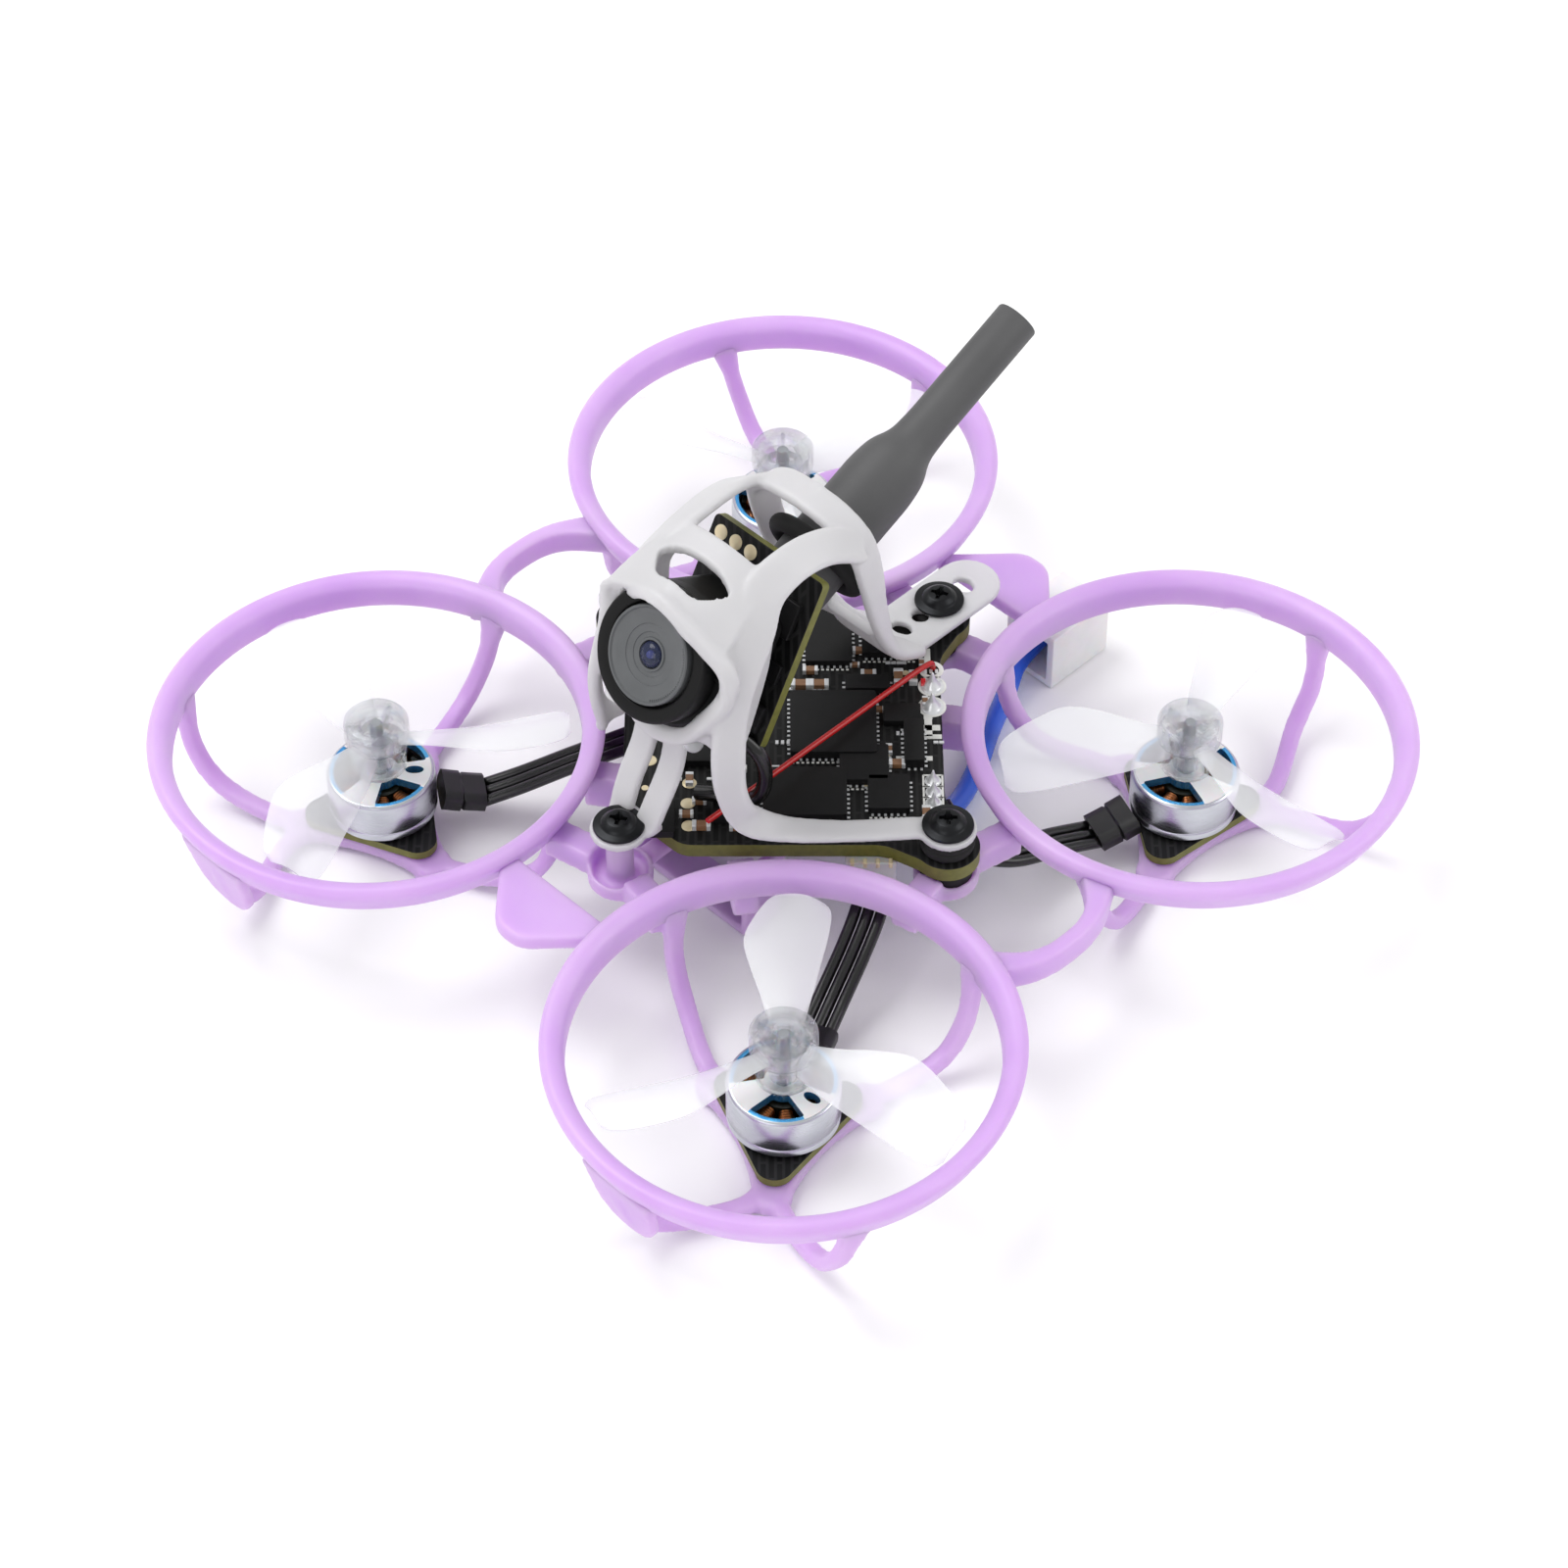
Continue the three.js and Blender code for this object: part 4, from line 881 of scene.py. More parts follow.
def sleeve_section(width, thick, bumps):
    """Flat oval over three wires, with a slight rise over each."""
    result = []
    for k in range(48):
        angle = 2 * math.pi * k / 48
        c, s = math.cos(angle), math.sin(angle)
        x = width / 2 * math.copysign(abs(c) ** 0.45, c)
        y = thick / 2 * math.copysign(abs(s) ** 0.55, s)
        y *= 1 + bumps * math.cos(2 * math.pi * x / LEAD_PITCH) * abs(s)
        result.append((x, y))
    return result


def lead_sleeves():
    """Flat shrink sleeves over the leads by each motor."""
    bm = bmesh.new()
    for name, x, y, spin, blade in QUADS:
        motor = Vector((x * ARM, y * ARM, -7.95))
        leads = Vector(LEAD_ROUTES[name][0])
        along = (leads - motor).to_2d().normalized().to_3d()
        start = motor + along * 4.75
        finish = leads - along * 0.1
        finish.z = -8.95
        middle = start.lerp(finish, 0.5)
        middle.z = -8.5

        def section(share):
            step = 1.0 if share < 0.42 else (0.86 if share < 0.5 else 0.97)
            return sleeve_section(3.7 * step, 1.65 * (1.1 if share < 0.42 else 0.95), 0.1 * share)

        sweep(bm, [start, middle, finish], section, 24, Vector((-along.y, along.x, 0)))
    return bm


# ---------------------------------------------------------------- flight board

EARS = ((MOUNT, 0), (-MOUNT, 0), (0, MOUNT))


def board_outline():
    """Square turned by 45 degrees, with three round ears and a cut front corner."""
    reach = BOARD_HALF * math.sqrt(2)
    points = [(3.36, -14.6), (reach - 3.4, -3.4)]
    for middle, centre in ((0, (MOUNT, 0)), (90, (0, MOUNT)), (180, (-MOUNT, 0))):
        entry = middle - 100
        if middle:
            corner = {90: (3.4, reach - 3.4), 180: (3.4 - reach, 3.4)}[middle]
            points.append(corner)
        for k in range(13):
            points.append((Vector((*centre, 0)) + polar(2.6, entry + 200 * k / 12))[:2])
        leave = {0: (reach - 3.4, 3.4), 90: (-3.4, reach - 3.4), 180: (3.4 - reach, -3.4)}[middle]
        points.append(leave)
    points.append((-3.36, -14.6))
    return [tuple(p) for p in points]


def flight_board():
    """The board with a hole in each ear."""
    bm = bmesh.new()
    plate(bm, rounded(board_outline(), 0.9, 4), -1.4, 0, chamfer=0.05)
    obj = as_object("flight_board_detail", bm)
    holes = bmesh.new()
    for x, y in EARS:
        lathe(holes, [(0, -3), (1.62, -3), (1.62, 3), (0, 3)], 32, Matrix.Translation((x, y, 0)))
    cut(obj, holes)
    return obj


# the board's own axes: u runs to the front right edge, v to the rear right edge
def on_board(u, v, z=0.0, turn=0.0):
    place = Matrix.Rotation(math.radians(-45), 4, "Z") @ Vector((u, v, z))
    return (tuple(place), (0, 0, turn - 45))


CHIPS = (  # u, v, width, depth, height: packages with their legs hidden under them
    (0.0, 4.0, 6.9, 6.9, 0.85), (7.6, 1.7, 5.2, 6.6, 0.75), (4.4, 6.4, 3.9, 3.9, 0.7),
    (7.6, 8.3, 3.7, 3.3, 0.7), (-10.0, 3.7, 6.0, 3.8, 0.6), (-10.3, 8.6, 4.8, 4.4, 0.6),
    (-4.6, 6.8, 1.6, 3.6, 0.7), (2.2, 10.4, 4.6, 1.6, 1.0), (-1.2, 9.5, 2.0, 3.0, 0.6),
    (10.3, -9.6, 3.4, 2.2, 0.7), (9.2, -3.8, 2.6, 3.4, 0.6), (-6.6, -2.6, 4.2, 4.2, 0.7),
    (1.8, -6.0, 5.0, 5.0, 0.7), (-3.6, -9.0, 3.4, 2.4, 0.6),
)
CAPACITORS = (  # u, v, size, quarter turns
    (-4.6, 1.4, 1.5, 1), (-4.6, 2.9, 1.5, 1), (-5.9, 6.9, 1.2, 1), (9.6, -7.6, 1.1, 1), (-2.8, 11.4, 0.9, 0),
    (11.0, 10.2, 1.3, 1), (10.9, -6.4, 1.4, 1), (11.0, -3.6, 1.2, 1), (10.9, -11.2, 1.1, 1),
    (5.9, -7.4, 1.2, 0), (4.7, -3.4, 1.0, 1), (-0.8, -1.4, 0.9, 0), (0.6, -1.4, 0.9, 0),
    (-1.9, 7.7, 0.9, 1), (11.5, -0.6, 0.9, 0), (-7.2, 11.2, 0.8, 0), (8.1, -9.6, 1.0, 0),
    (8.2, -6.6, 1.1, 1), (-7.0, 5.8, 0.8, 1), (11.3, 1.0, 1.0, 0), (-0.4, -4.0, 0.8, 0),
    (-5.4, 9.3, 1.5, 0), (-5.4, 10.5, 1.3, 0), (-6.3, 2.2, 1.2, 1), (5.2, -0.6, 1.2, 0), (4.2, 9.0, 1.3, 1),
    (9.6, 11.2, 1.3, 0), (11.2, 6.8, 1.2, 0), (11.2, 4.2, 1.2, 0), (2.6, 8.4, 1.0, 0), (-8.6, 6.2, 1.1, 1),
)


def board_parts():
    """Chips, ceramic capacitors, pads, solder cones and printed lines on the flight board."""
    made = []

    def add(name, shape, spots, finish, slot="circuit_board", nodes=()):
        made.append((copies(name, shape, spots, finish), slot, nodes))

    chip = bmesh.new()
    block(chip, (-0.5, -0.5, 0), (0.5, 0.5, 1), edge=0.03)
    spots = [(*on_board(u, v, 0.02), (w, d, h)) for u, v, w, d, h in CHIPS]
    add("board_chips", chip, spots, "chip_epoxy", "chip_plastic", ("processor_chip", "driver_chip"))

    body, ends = bmesh.new(), bmesh.new()
    block(body, (-0.3, -0.27, 0), (0.3, 0.27, 0.5), edge=0.03)
    for side in (-1, 1):
        low, high = sorted((side * 0.28, side * 0.52))
        block(ends, (low, -0.29, 0), (high, 0.29, 0.53), edge=0.03)
    spots = [(*on_board(u, v, 0, 90 * q), (s, s * 0.9, s * 0.8)) for u, v, s, q in CAPACITORS]
    add("capacitor_bodies", body, spots, "capacitor_ceramic")
    add("capacitor_ends", ends, spots, "solder")

    small = bmesh.new()
    block(small, (-0.2, -0.13, 0), (0.2, 0.13, 0.16), edge=0.02)
    spots = []
    for k in range(64):
        # scattered in short ranks, as passive parts are, and never under a chip
        u = -11.3 + (k * 7 % 23)
        v = -11.2 + (k * 11 % 24) + 0.35 * (k % 3)
        if all(abs(u - c[0]) > c[2] / 2 + 0.4 or abs(v - c[1]) > c[3] / 2 + 0.4 for c in CHIPS):
            for n in range(1 + k % 3):
                spots.append(on_board(u, v + 0.45 * n, 0, 90 * (k % 2)))
    add("resistor_ends", small, spots, "solder")

    legs = bmesh.new()
    block(legs, (-0.1, -0.17, 0), (0.1, 0.17, 0.07), edge=0.015)
    spots = []
    for u, v, w, d, h in CHIPS[:8]:
        for side in (-1, 1):
            for k in range(int(w / 0.5)):
                spots.append(on_board(u - w / 2 + 0.35 + 0.5 * k, v + side * (d / 2 + 0.06)))
            for k in range(int(d / 0.5)):
                along = v - d / 2 + 0.35 + 0.5 * k
                spots.append(on_board(u + side * (w / 2 + 0.06), along, 0, 90))
    add("chip_legs", legs, spots, "solder")

    pad = bmesh.new()
    lathe(pad, [(0, -0.01), (0.52, -0.01), (0.52, 0.03), (0.48, 0.05), (0, 0.05)], 28)
    spots = [(*on_board(u, v), (1.1, 1.1, 1)) for u, v in
             ((6.1, -7.4), (8.3, -7.5), (10.7, -7.4), (4.9, 5.2), (6.1, 6.8), (3.6, -10.6), (-8.0, -7.2))]
    spots += [(*on_board(u, v), (0.55, 0.55, 1)) for u, v in
              ((6.6, -10.9), (-3.4, 4.4), (-3.4, 5.4), (5.8, -1.3), (-6.2, 9.9), (3.2, 8.2))]
    add("gold_pads", pad, spots, "gold_pad")

    signal_pad = (0.7, 0.7, 0.8)
    cone = bmesh.new()
    outline = [(0.95, -0.01), (0.95, 0.06), (0.72, 0.1), (0.3, 0.75), (0.1, 1.5), (0, 1.6)]
    lathe(cone, rounded(outline, 0.12, 2, closed=False), 28)
    spots = [((5.2, 11.8, 0),), ((6.8, 10.1, 0),)]
    spots += [((x, y, 0), (0, 0, 0), signal_pad) for x, y in ((12.5, 4.2), (13.4, 3.35), (14.2, 2.5))]
    add("solder_cones", cone, spots, "solder")

    ring = bmesh.new()
    lathe(ring, [(0.62, -0.01), (1.0, -0.01), (1.0, 0.035), (0.62, 0.035)], 32, closed=True)
    spots = [((3.87, 13.1, 0),), ((5.2, 11.8, 0), (0, 0, 0), (1.15, 1.15, 1)),
             ((6.8, 10.1, 0), (0, 0, 0), (1.15, 1.15, 1))]
    add("printed_rings", ring, spots, "white_ink")

    ink = bmesh.new()
    block(ink, (-0.5, -0.5, 0), (0.5, 0.5, 0.025), edge=0.008)
    spots = []
    for u, v, w, d, h in CHIPS[:6]:
        for side in (-1, 1):
            for k in range(int(d / 0.4)):
                along = v - d / 2 + 0.2 + 0.4 * k
                spots.append((*on_board(u + side * (w / 2 + 0.42), along), (0.17, 0.22, 1)))
    for k in range(3):
        # rounded frames round the three signal pads
        centre = Vector((12.5 + 0.85 * k, 4.2 - 0.85 * k, 0))
        for du, dv, w, d in ((0, 0.62, 1.5, 0.16), (0, -0.62, 1.5, 0.16), (0.75, 0, 0.16, 1.3),
                             (-0.75, 0, 0.16, 1.3)):
            turn = Matrix.Rotation(math.radians(45), 4, "Z") @ Vector((du, dv, 0))
            spots.append((tuple(centre + turn), (0, 0, 45), (w, d, 1)))
    for w, d in ((1.9, 0.62), (0.62, 1.9)):
        spots.append(((8.2, 8.2, 0), (0, 0, 45), (w, d, 1)))
    for u, v, w, d in ((1.0, 11.9, 0.5, 1.5), (3.4, 9.2, 0.5, 0.5), (3.4, 11.6, 0.5, 0.5),
                       (-1.6, 11.6, 1.3, 0.7), (-8.2, 11.7, 1.6, 0.5), (9.9, 11.3, 1.0, 0.14)):
        spots.append((*on_board(u, v), (w, d, 1)))
    add("printed_marks", ink, spots, "white_ink")

    lamp = bmesh.new()
    block(lamp, (-0.35, -0.2, 0), (0.35, 0.2, 0.3), edge=0.04)
    spots = [on_board(-5.0, 11.3), on_board(-5.0, 12.0)]
    add("status_lamps", lamp, spots, "red_lamp")
    return made


def grommets():
    """Rubber grommets in the ears of the flight board."""
    bm = bmesh.new()
    profile = [(0.72, -3.0), (1.9, -3.0), (2.12, -2.8), (2.15, -1.7), (2.0, -1.46), (1.5, -1.46), (1.5, 0.06),
               (2.0, 0.06), (2.15, 0.3), (2.15, 0.75), (2.05, 0.85), (1.95, 0.95), (2.1, 1.1), (2.0, 1.35),
               (1.6, 1.5), (0.72, 1.5)]
    for x, y in EARS:
        top = 1.5 if y == 0 else 1.1
        shape = [(r, z if z <= 0.1 else 0.06 + (z - 0.06) * (top - 0.06) / 1.44) for r, z in profile]
        lathe(bm, rounded(shape, 0.1, 2), 48, Matrix.Translation((x, y, 0)), closed=True)
    return bm


SEATS = (((0, -MOUNT), 2.16), ((MOUNT, 0), 2.16), ((-MOUNT, 0), 2.16), ((0, MOUNT), 1.76))


def screw_shape():
    """Wide-flanged pan head screw with a deep cross recess, seated at height 0."""
    bm = bmesh.new()
    lathe(bm, rounded([
        (0, -5.2), (0.5, -5.2), (0.5, 0.05), (1.95, 0.05), (2.05, 0.12), (2.02, 0.34), (1.45, 0.42),
        (1.3, 0.66), (0.95, 0.92), (0.5, 1.0), (0, 1.0)], 0.07, 2, closed=False), 48)
    obj = as_object("screw_source", bm, Matrix())
    cutter = bmesh.new()
    for turn in (0, 90):
        spin = Matrix.Rotation(math.radians(turn + 20), 4, "Z")
        outline = [(-0.85, -0.2), (0.85, -0.2), (0.85, 0.2), (-0.85, 0.2)]
        loops = [[spin @ Vector((x * s, y * s, z)) for x, y in outline] for s, z in ((0.45, 0.3), (1, 1.2))]
        join_loops(cutter, loops)
    lathe(cutter, [(0, 0.35), (0.25, 0.5), (0.5, 1.3), (0, 1.3)], 16)
    cut(obj, cutter, Matrix(), crossing=True)
    made = bmesh.new()
    made.from_mesh(obj.data)
    bpy.data.objects.remove(obj)
    return made


# ---------------------------------------------------------------- camera and antenna

CAMERA = Matrix.Translation(VIDEO_CENTRE) @ Matrix((
    (1, 0, 0, 0),
    (0, math.sin(CAMERA_TILT), -math.cos(CAMERA_TILT), 0),
    (0, math.cos(CAMERA_TILT), math.sin(CAMERA_TILT), 0),
    (0, 0, 0, 1),
))
LENS = CAMERA @ Matrix.Translation((0, -1.05, 0))
ANTENNA_AXIS = (ANTENNA_END - ANTENNA_START).normalized()
ANTENNA_TURN = Vector((0, 0, 1)).rotation_difference(ANTENNA_AXIS)
ANTENNA = Matrix.Translation(ANTENNA_START) @ ANTENNA_TURN.to_matrix().to_4x4()
RING_AT = 4.9  # of the rubber ring along the antenna
VIDEO_CHIPS = (  # x, y, width, depth, height, whether it sits on the back
    (3.6, 3.4, 2.4, 3.0, 0.5, 0), (4.4, -1.0, 1.6, 1.6, 0.4, 0), (0, -3.4, 7, 5, 0.7, 1),
    (4.6, -5.0, 1.2, 2.2, 0.5, 0), (-3.2, 5.2, 3.0, 2.4, 0.5, 1),
)


def camera_body():
    """The housing with its ribs, face plate and outer ring."""
    bm = bmesh.new()
    outline = rounded([(-4.2, -4.2), (4.2, -4.2), (4.2, 4.2), (-4.2, 4.2)], 1.0, 5)
    plate(bm, outline, 0.9, 7.5, LENS, 0.2)
    for k in range(7):
        # cooling ribs on both sides of the body
        z = 1.7 + 0.75 * k
        for side in (-1, 1):
            low, high = sorted((side * 4.15, side * 4.45))
            block(bm, (low, -2.8, z), (high, 2.8, z + 0.4), LENS, 0.05)
            low, high = sorted((side * 5.2, side * 5.75))
            block(bm, (low, 0.6 + 0.36 * k, 6.6), (high, 0.84 + 0.36 * k, 8.9), LENS, 0.04)
    face = [(6, -0.1), (5.9, -2.2), (4.6, -4.6), (2.2, -5.9), (-2.2, -5.9), (-4.6, -4.6), (-5.9, -2.2),
            (-6, -0.1), (-4.4, 3.4), (-1.8, 4.6), (1.8, 4.6), (4.4, 3.4)]
    plate(bm, rounded([(x, y + 0.6) for x, y in face], 1.2, 4), 7, 8.6, LENS, 0.3)
    lathe(bm, rounded([
        (3.9, 8.2), (5, 8.2), (5.28, 8.5), (5.32, 10.25), (5.15, 10.45), (4.25, 10.45), (4.05, 10.3),
        (4.05, 9.6), (3.9, 9.6)], 0.1, 2), 96, LENS, closed=True)
    return bm


def lens_body():
    """The stepped disc round the lens."""
    bm = bmesh.new()
    steps = [(0, 8.1), (3.86, 8.1), (3.88, 10.66), (3.8, 10.76), (3.66, 10.76), (3.56, 10.6), (3.3, 10.5),
             (3.1, 10.46), (2.4, 10.4), (2.36, 10.34), (1.75, 10.3), (1.71, 10.24), (1.35, 10.22),
             (1.3, 10.32), (1.12, 10.32), (1.05, 9.9), (0, 9.9)]
    lathe(bm, steps, 96, LENS)
    for k in range(30):
        # fine grip ribs inside one side of the rim
        turn = Matrix.Rotation(math.radians(-62 + 3.4 * k), 4, "Z")
        block(bm, (3.4, -0.05, 10.4), (3.66, 0.05, 10.66), LENS @ turn, 0.02)
    return bm


def lens_dome():
    """The front lens."""
    bm = bmesh.new()
    profile = [(0, 9.92), (1.04, 9.92), (1.04, 10.15)]
    for k in range(1, 8):
        angle = math.pi / 2 * k / 8
        profile.append((1.04 * math.cos(angle), 10.15 + 0.65 * math.sin(angle)))
    lathe(bm, profile + [(0, 10.8)], 48, LENS)
    return bm


def video_board():
    """The tilted board behind the camera."""
    bm = bmesh.new()
    outline = rounded([(-5.8, -7.3), (5.8, -7.3), (5.8, 7.3), (-5.8, 7.3)], 0.5, 3)
    plate(bm, outline, -0.45, 0.45, CAMERA, 0.04)
    return bm


def antenna_tube():
    """The sleeve over the antenna, wide at its root."""
    bm = bmesh.new()
    length = (ANTENNA_END - ANTENNA_START).length
    shape = rounded([(0, 0.2), (3.0, 0.2), (3.02, 12.6), (2.75, 14.6), (1.95, 16.2), (1.8, 18.4),
                     (1.8, length), (0, length)], 1.6, 8, closed=False)
    # the cut end is nearly sharp
    end = [(1.8, length - 0.12), (1.74, length - 0.02), (1.6, length), (0, length)]
    lathe(bm, [p for p in shape if p[1] < length - 0.9] + end, 72, ANTENNA)
    return bm


def torus(bm, major, minor, matrix, around=72, sides=20):
    profile = [(major + minor * math.cos(t), minor * math.sin(t))
               for t in (2 * math.pi * k / sides for k in range(sides))]
    lathe(bm, profile, around, matrix, closed=True)


# ---------------------------------------------------------------- canopy

HOOP = [(0, -14.3, 10.7), (3.4, -14.3, 12), (5.6, -13.8, 14.8), (6.9, -12.8, 17.6), (6.7, -12.6, 19.7),
        (4.7, -12.8, 21.2), (2.4, -13, 22.3), (0, -13, 23)]
# one band on each side: collar, roof bar, strut beside the camera, leg and side tab
BAND = [(5.2, 3.0, 21.5), (4.9, -0.6, 23.4), (4.7, -3.8, 23.7), (4.9, -7, 22.9), (6, -9, 21),
        (6.6, -11, 18.4), (6.8, -12.3, 15.2), (7.3, -13.2, 11), (7.5, -13, 7.4), (7.9, -11.7, 4.1),
        (9.6, -9.2, 2.4), (12.4, -6, 1.86), (16.4, -1.5, 1.86)]
BAND_NORMALS = [(0.6, 0.2, 0.8), (0.5, 0, 0.87), (0.5, -0.1, 0.87), (0.6, -0.25, 0.75), (0.85, -0.3, 0.45),
                (0.92, -0.38, 0.1), (0.9, -0.42, 0), (0.8, -0.6, 0), (0.6, -0.75, 0.25), (0.3, -0.6, 0.75),
                (0, -0.2, 1), (0, 0, 1), (0, 0, 1)]
BAND_WIDTHS = [3, 3, 3.1, 3.4, 3.2, 3, 2.7, 2.7, 2.5, 2.6, 2.4, 2.2, 2.3]
BAND_THICK = [1, 1, 1, 1.05, 1.1, 1.1, 1.1, 1, 1, 0.9, 0.75, 0.62, 0.6]
# one band on each side, over the antenna and down behind it to the rear strip
REAR_BAND = [(-0.4, 2.6, 23.55), (3.2, 2.7, 23), (5.2, 3.1, 21.2), (5.6, 3.9, 17.6), (5.1, 5.2, 13.2),
             (4.2, 7, 9), (3.2, 9.2, 5), (2, 12.8, 1.4)]
REAR_NORMALS = [(0, 0.1, 1), (0.4, 0.1, 0.9), (0.85, 0.1, 0.5), (1, 0.1, 0), (1, 0.3, 0.1), (0.9, 0.5, 0.2),
                (0.4, 0.8, 0.5), (0, 0.1, 1)]
FRONT_LEG = [(1.5, -13, 10.2), (1.6, -13.7, 7.2), (1.6, -15.3, 4.3), (1.4, -16.4, 2.05)]
REAR_WIDTHS = [3.1, 3.1, 3, 2.6, 2.4, 2.3, 2.4, 2.6]
SEAT_RING = [(0, 1.56), (2.3, 1.56), (2.3, 2.16), (0, 2.16)]
REAR_SEAT = 1.76
REAR_END = 24.1


def mirrored(points, sign):
    return [(sign * x, y, z) for x, y, z in points]


def skin(bm, front, back, sag, thick):
    """A thin sheet between two curves of equally many points, sagging in the middle."""
    rows = 10
    grid = []
    for i in range(rows + 1):
        v = i / rows
        grid.append([a.lerp(b, v) for a, b in zip(front, back)])
    outer, inner = [], []
    for i, row in enumerate(grid):
        up, down = [], []
        for k, point in enumerate(row):
            along = row[min(k + 1, len(row) - 1)] - row[max(k - 1, 0)]
            over = grid[min(i + 1, rows)][k] - grid[max(i - 1, 0)][k]
            normal = along.cross(over).normalized()
            if normal.dot(point - Vector((0, -6, 14))) < 0:
                normal = -normal
            middle = point - normal * sag * math.sin(math.pi * i / rows)
            up.append(middle + normal * thick / 2)
            down.append(middle - normal * thick / 2)
        outer.append(up)
        inner.append(down)
    join_loops(bm, [up + down[::-1] for up, down in zip(outer, inner)])


def part_of(points, start, end, count=20):
    """Points along the smooth curve between two of its control points."""
    path = [p for p, along in curve_through(points, (len(points) - 1) * 10)]
    part = path[int(start * 10):int(end * 10) + 1]
    return [part[round(k / count * (len(part) - 1))] for k in range(count + 1)]


def canopy_cutters():
    """What is cut from the canopy: its window and holes, and room for what it stands over."""
    # the gap above the lens, between the rim and the roof bar
    outline = [(-3.9, -9.3), (-2.2, -11.5), (2.2, -11.5), (3.9, -9.3), (2.2, -8.6), (-2.2, -8.6)]
    window, holes, lens, camera, board, sleeve = (bmesh.new() for k in range(6))
    plate(window, rounded(outline, 1.0, 5), 20, 32, chamfer=0.01)
    for y in (13.6, 15.8, MOUNT, 20.9):
        stretch = 1.35 if y in (13.6, 20.9) else 1.0
        lathe(holes, [(0, -1), (0.72, -1), (0.72, 5), (0, 5)], 24,
              Matrix.Translation((0, y, 0)) @ Matrix.Scale(stretch, 4, (1, 0, 0)))
    for x, y in ((MOUNT, 0), (-MOUNT, 0), (0, -MOUNT)):
        lathe(holes, [(0, -1), (0.75, -1), (0.75, 5), (0, 5)], 24, Matrix.Translation((x, y, 0)))
    lathe(lens, [(0, 6.8), (5.45, 6.8), (5.45, 10.6), (4.3, 10.7), (4.3, 16), (0, 16)], 64, LENS)
    block(camera, (-4.5, -4.5, 0.7), (4.5, 4.5, 7.7), LENS)
    block(board, (-6.1, -7.6, -0.75), (6.1, 7.6, 0.75), CAMERA)
    start, end = RING_AT - 2, RING_AT + 4
    lathe(sleeve, [(0, start), (4.65, start), (4.65, end), (0, end)], 48, ANTENNA)
    return window, holes, lens, camera, board, sleeve


def canopy():
    """Rim round the lens, roof, cheeks, legs and rear strip, melted into one moulding."""
    bm = bmesh.new()
    # the rim stands a little further back on the left, behind the ribbed side of the camera
    loop = HOOP + [(-x + 0.09 * x, y + 0.16 * x, z - 0.09 * x) for x, y, z in HOOP[-2:0:-1]]
    sweep(bm, loop, band(1.5, 1.3, 0.5), 96, (0, 0.35, 0.9), closed=True)
    bar = [BAND[3], (2.6, -7.3, 23.9), (0, -7.45, 24.3), (-2.6, -7.3, 23.9), (-BAND[3][0], *BAND[3][1:])]
    sweep(bm, bar, band(2.3, 1.0, 0.4), 32, normals=[(0.4, -0.2, 0.9), (0, -0.2, 1), (-0.4, -0.2, 0.9)])
    over = part_of(HOOP, 4.4, 7, 12)
    over += [Vector((-p.x, p.y, p.z)) for p in over[-2::-1]]
    skin(bm, over, [p for p, along in curve_through(bar, len(over) - 1)], -0.25, 0.9)
    for sign in (-1, 1):
        normals = mirrored(BAND_NORMALS, sign)
        sweep(bm, mirrored(BAND, sign),
              lambda s: band(along_list(BAND_WIDTHS, s), along_list(BAND_THICK, s), 0.4), 96, normals=normals)
        cheek = part_of(HOOP, 1.2, 4.9), part_of(BAND[7:2:-1], 0, 4)
        skin(bm, *([Vector((sign * p.x, p.y, p.z)) for p in edge] for edge in cheek), 0.45, 0.8)
        flange = [(4.9, -6.9, 21.6), (6, -7.9, 19.8), (6.2, -8.7, 17), (6.4, -10, 14), (6.9, -11.6, 11.4)]
        sweep(bm, mirrored(flange, sign), lambda s: band(1.2 + 2.2 * math.sin(math.pi * s), 0.7, 0.3), 24,
              normals=mirrored([(0.8, 0.5, 0.1), (0.9, 0.4, 0)], sign))
        sweep(bm, mirrored(FRONT_LEG, sign), band(2.3, 0.85, 0.35), 20, (1, 0, 0))
        lathe(bm, SEAT_RING, 40, Matrix.Translation((sign * MOUNT, 0, 0)))
        sweep(bm, mirrored(REAR_BAND, sign),
              lambda s: band(along_list(REAR_WIDTHS, s), 0.95, 0.4), 64,
              normals=mirrored(REAR_NORMALS, sign))
    tongue = [(0, 7.6, 7.2), (0, 9.2, 4.2), (0, 11.2, 2.1), (0, 14, REAR_SEAT - 0.38)]
    sweep(bm, tongue, band(5.2, 0.8, 0.35), 20, (1, 0, 0))
    lathe(bm, SEAT_RING, 40, Matrix.Translation((0, -MOUNT, 0)))
    block(bm, (-2.4, 1.0 - MOUNT, 1.56), (2.4, 2.6 - MOUNT, 2.16), edge=0.15)
    rear = [(-2.75, 12.2), (2.75, 12.2)]
    for k in range(21):
        angle = math.pi * k / 20
        rear.append((2.75 * math.cos(angle), REAR_END - 2.75 + 2.75 * math.sin(angle)))
    plate(bm, rear, REAR_SEAT - 0.75, REAR_SEAT, chamfer=0.15)
    return fuse(as_object("canopy_shell", bm), 0.17, 4, canopy_cutters())


# ---------------------------------------------------------------- loose lead and small wires

